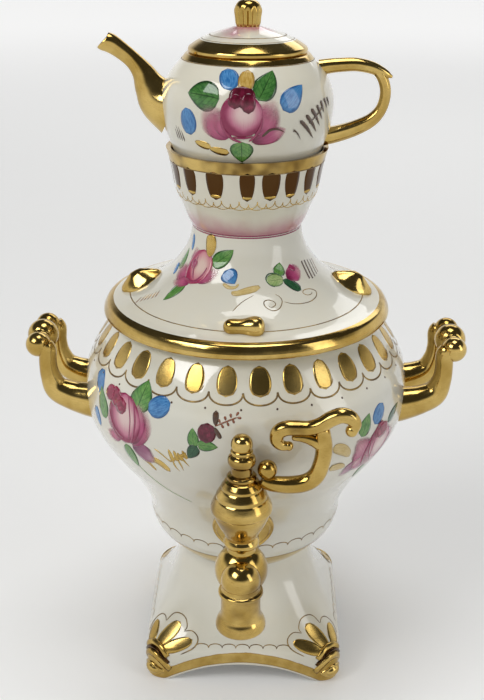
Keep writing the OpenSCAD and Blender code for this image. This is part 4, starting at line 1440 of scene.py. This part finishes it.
urnPaint = Painter()
for angle in (-41.7, 138.3):
    wall = urnWall.canvas(angle, 209.9)
    urnPaint.motif(wall, urnRose)
    urnPaint.trace(wall, urnLines)
    urnPaint.lay(wall, "line", "pale", curve(2, -33, -70, 44, 34, 1, 20), 1.6, 1)
for angle in (56, 236):
    urnPaint.motif(urnWall.canvas(angle, 195), sideRose)
for angle in (-11.4, 171):
    wall = urnWall.canvas(angle, 212.7)
    urnPaint.motif(wall, urnBud)
    for x, y, heading in buds:
        urnPaint.lay(wall, "petal", "russet", curve(x, y, heading, 2.8, steps=4), 1.5, 2)
for k in range(30):
    angle = -5.9 + 12 * k
    wall = urnWall.canvas(angle, 241)
    wide = 12.6 + 0.8 * math.sin(1.7 * k)
    urnPaint.lay(wall, "drop", "gold", [(0, 9.8), (0.2, 0), (0, -9.6)], wide, 1)
    urnPaint.lay(wall, "line", "line", curve(-wide * 0.42, -3.4, -84, 17, 168, 1, 14), 0.55, 2)
    urnPaint.lay(urnWall.canvas(angle - 6.6, 226.6), "round", "brown", [(-0.7, 0), (0.7, 0)], 1.4, 1)
urnPaint.arches(urnWall, 235.2, 30, 7.4, 1.15, "line", first=-5.9)
urnPaint.arches(urnWall, 106.2, 38, 3.4, 0.7, "line", first=3, drop=-1)
urnPaint.ring(urnWall, 96.6, 0.7, "line")
urnPaint.piece("urn_painting", "samovar", "glazed_porcelain")
print("painting")


# studio

studio = dict(floor=(0.80, 0.80, 0.79), floorRadius=6.0, world=0.33, key=22, fill=7, rim=7, top=9,
              pale=0.90, dark=0.06, paleBelow=0.2, darkAbove=0.48,
              nearGlow=0.12, farGlow=0.62)
camera = dict(place=(0.0120, -0.6889, 0.509), down=22.6, turn=-1.0, roll=0.35, lens=56.67,
              shift=-4 / 700)


def studioFloor():
    mesh = bmesh.new()
    bmesh.ops.create_circle(mesh, cap_ends=True, segments=96, radius=studio["floorRadius"],
                            matrix=at(0, 0, -0.15))
    data = bpy.data.meshes.new("studio_floor")
    mesh.to_mesh(data)
    mesh.free()
    r = Recipe("studio_floor")
    spot, (x, y, z) = r.place()
    tone = r.blend(r.noise(3, 2, spot), tuple(c * 0.99 for c in studio["floor"]), studio["floor"])
    # far from the lamps the floor keeps its own paleness, to the eye and in mirrors
    far = r.step((x * x + y * y) ** 0.5, 0.3, 4.2)
    near, away = ((studio[k],) * 3 for k in ("nearGlow", "farGlow"))
    glow = r.blend(r.mirrored(), (0, 0, 0), r.blend(far, near, away))
    data.materials.append(r.finish(Base_Color=tone, Roughness=0.75, Emission_Color=glow,
                                   Emission_Strength=1.0))
    piece = bpy.data.objects.new("studio_floor", data)
    scene.collection.objects.link(piece)


def areaLight(name, place, target, size, watts):
    data = bpy.data.lights.new(name, "AREA")
    data.shape, data.size, data.size_y = "RECTANGLE", *size
    data.energy = watts
    light = bpy.data.objects.new(name, data)
    light.location = place
    light.rotation_euler = (Vector(target) - Vector(place)).to_track_quat("-Z", "Y").to_euler()
    scene.collection.objects.link(light)


def studioWorld():
    # soft even light; seen and mirrored, it is a pale room under a dark ceiling
    r = Recipe("studio", bpy.data.worlds)
    up = r.node("SeparateXYZ", inputs={0: r.node("TexCoord", output="Generated")}, output="Z")
    pale = r.node("MapRange", {"interpolation_type": "SMOOTHSTEP"},
                  {"Value": up, "From Min": studio["paleBelow"], "From Max": studio["darkAbove"],
                   "To Min": studio["pale"], "To Max": studio["dark"]})
    lighting = r.node("Background", inputs={"Color": (1, 1, 1, 1), "Strength": studio["world"]})
    seen = r.node("Background", inputs={"Color": (1, 1, 0.99, 1), "Strength": pale})
    both = r.node("MixShader", inputs={0: r.mirrored(), 1: lighting, 2: seen})
    r.node("OutputWorld", inputs={"Surface": both})
    scene.world = r.owner


studioFloor()
studioWorld()
middle = (0, 0, 0.22)
for name, place, size in (("key", (-1.3, -1.1, 1.9), (1.2, 0.9)), ("fill", (1.8, -0.9, 1.1), (0.7, 1.5)),
                          ("rim", (0.5, 1.9, 1.5), (1.6, 0.7)), ("top", (0.1, 0.1, 2.1), (0.8, 0.8))):
    areaLight(name, place, middle, size, studio[name])

lens = bpy.data.cameras.new("studio_camera")
lens.lens, lens.sensor_width, lens.sensor_fit = camera["lens"], 36, "AUTO"
lens.shift_x = camera["shift"]
lens.clip_start, lens.clip_end = 0.05, 50
eye = bpy.data.objects.new("studio_camera", lens)
pitch, turn = math.radians(camera["down"]), math.radians(camera["turn"])
look = Vector((math.sin(turn) * math.cos(pitch), math.cos(turn) * math.cos(pitch), -math.sin(pitch)))
tilted = look.to_track_quat("-Z", "Y").to_matrix().to_4x4() \
    @ Matrix.Rotation(math.radians(camera["roll"]), 4, "Z")
eye.matrix_world = Matrix.Translation(camera["place"]) @ tilted
scene.collection.objects.link(eye)
scene.camera = eye
scene.view_settings.view_transform = "Standard"

bpy.context.view_layer.update()
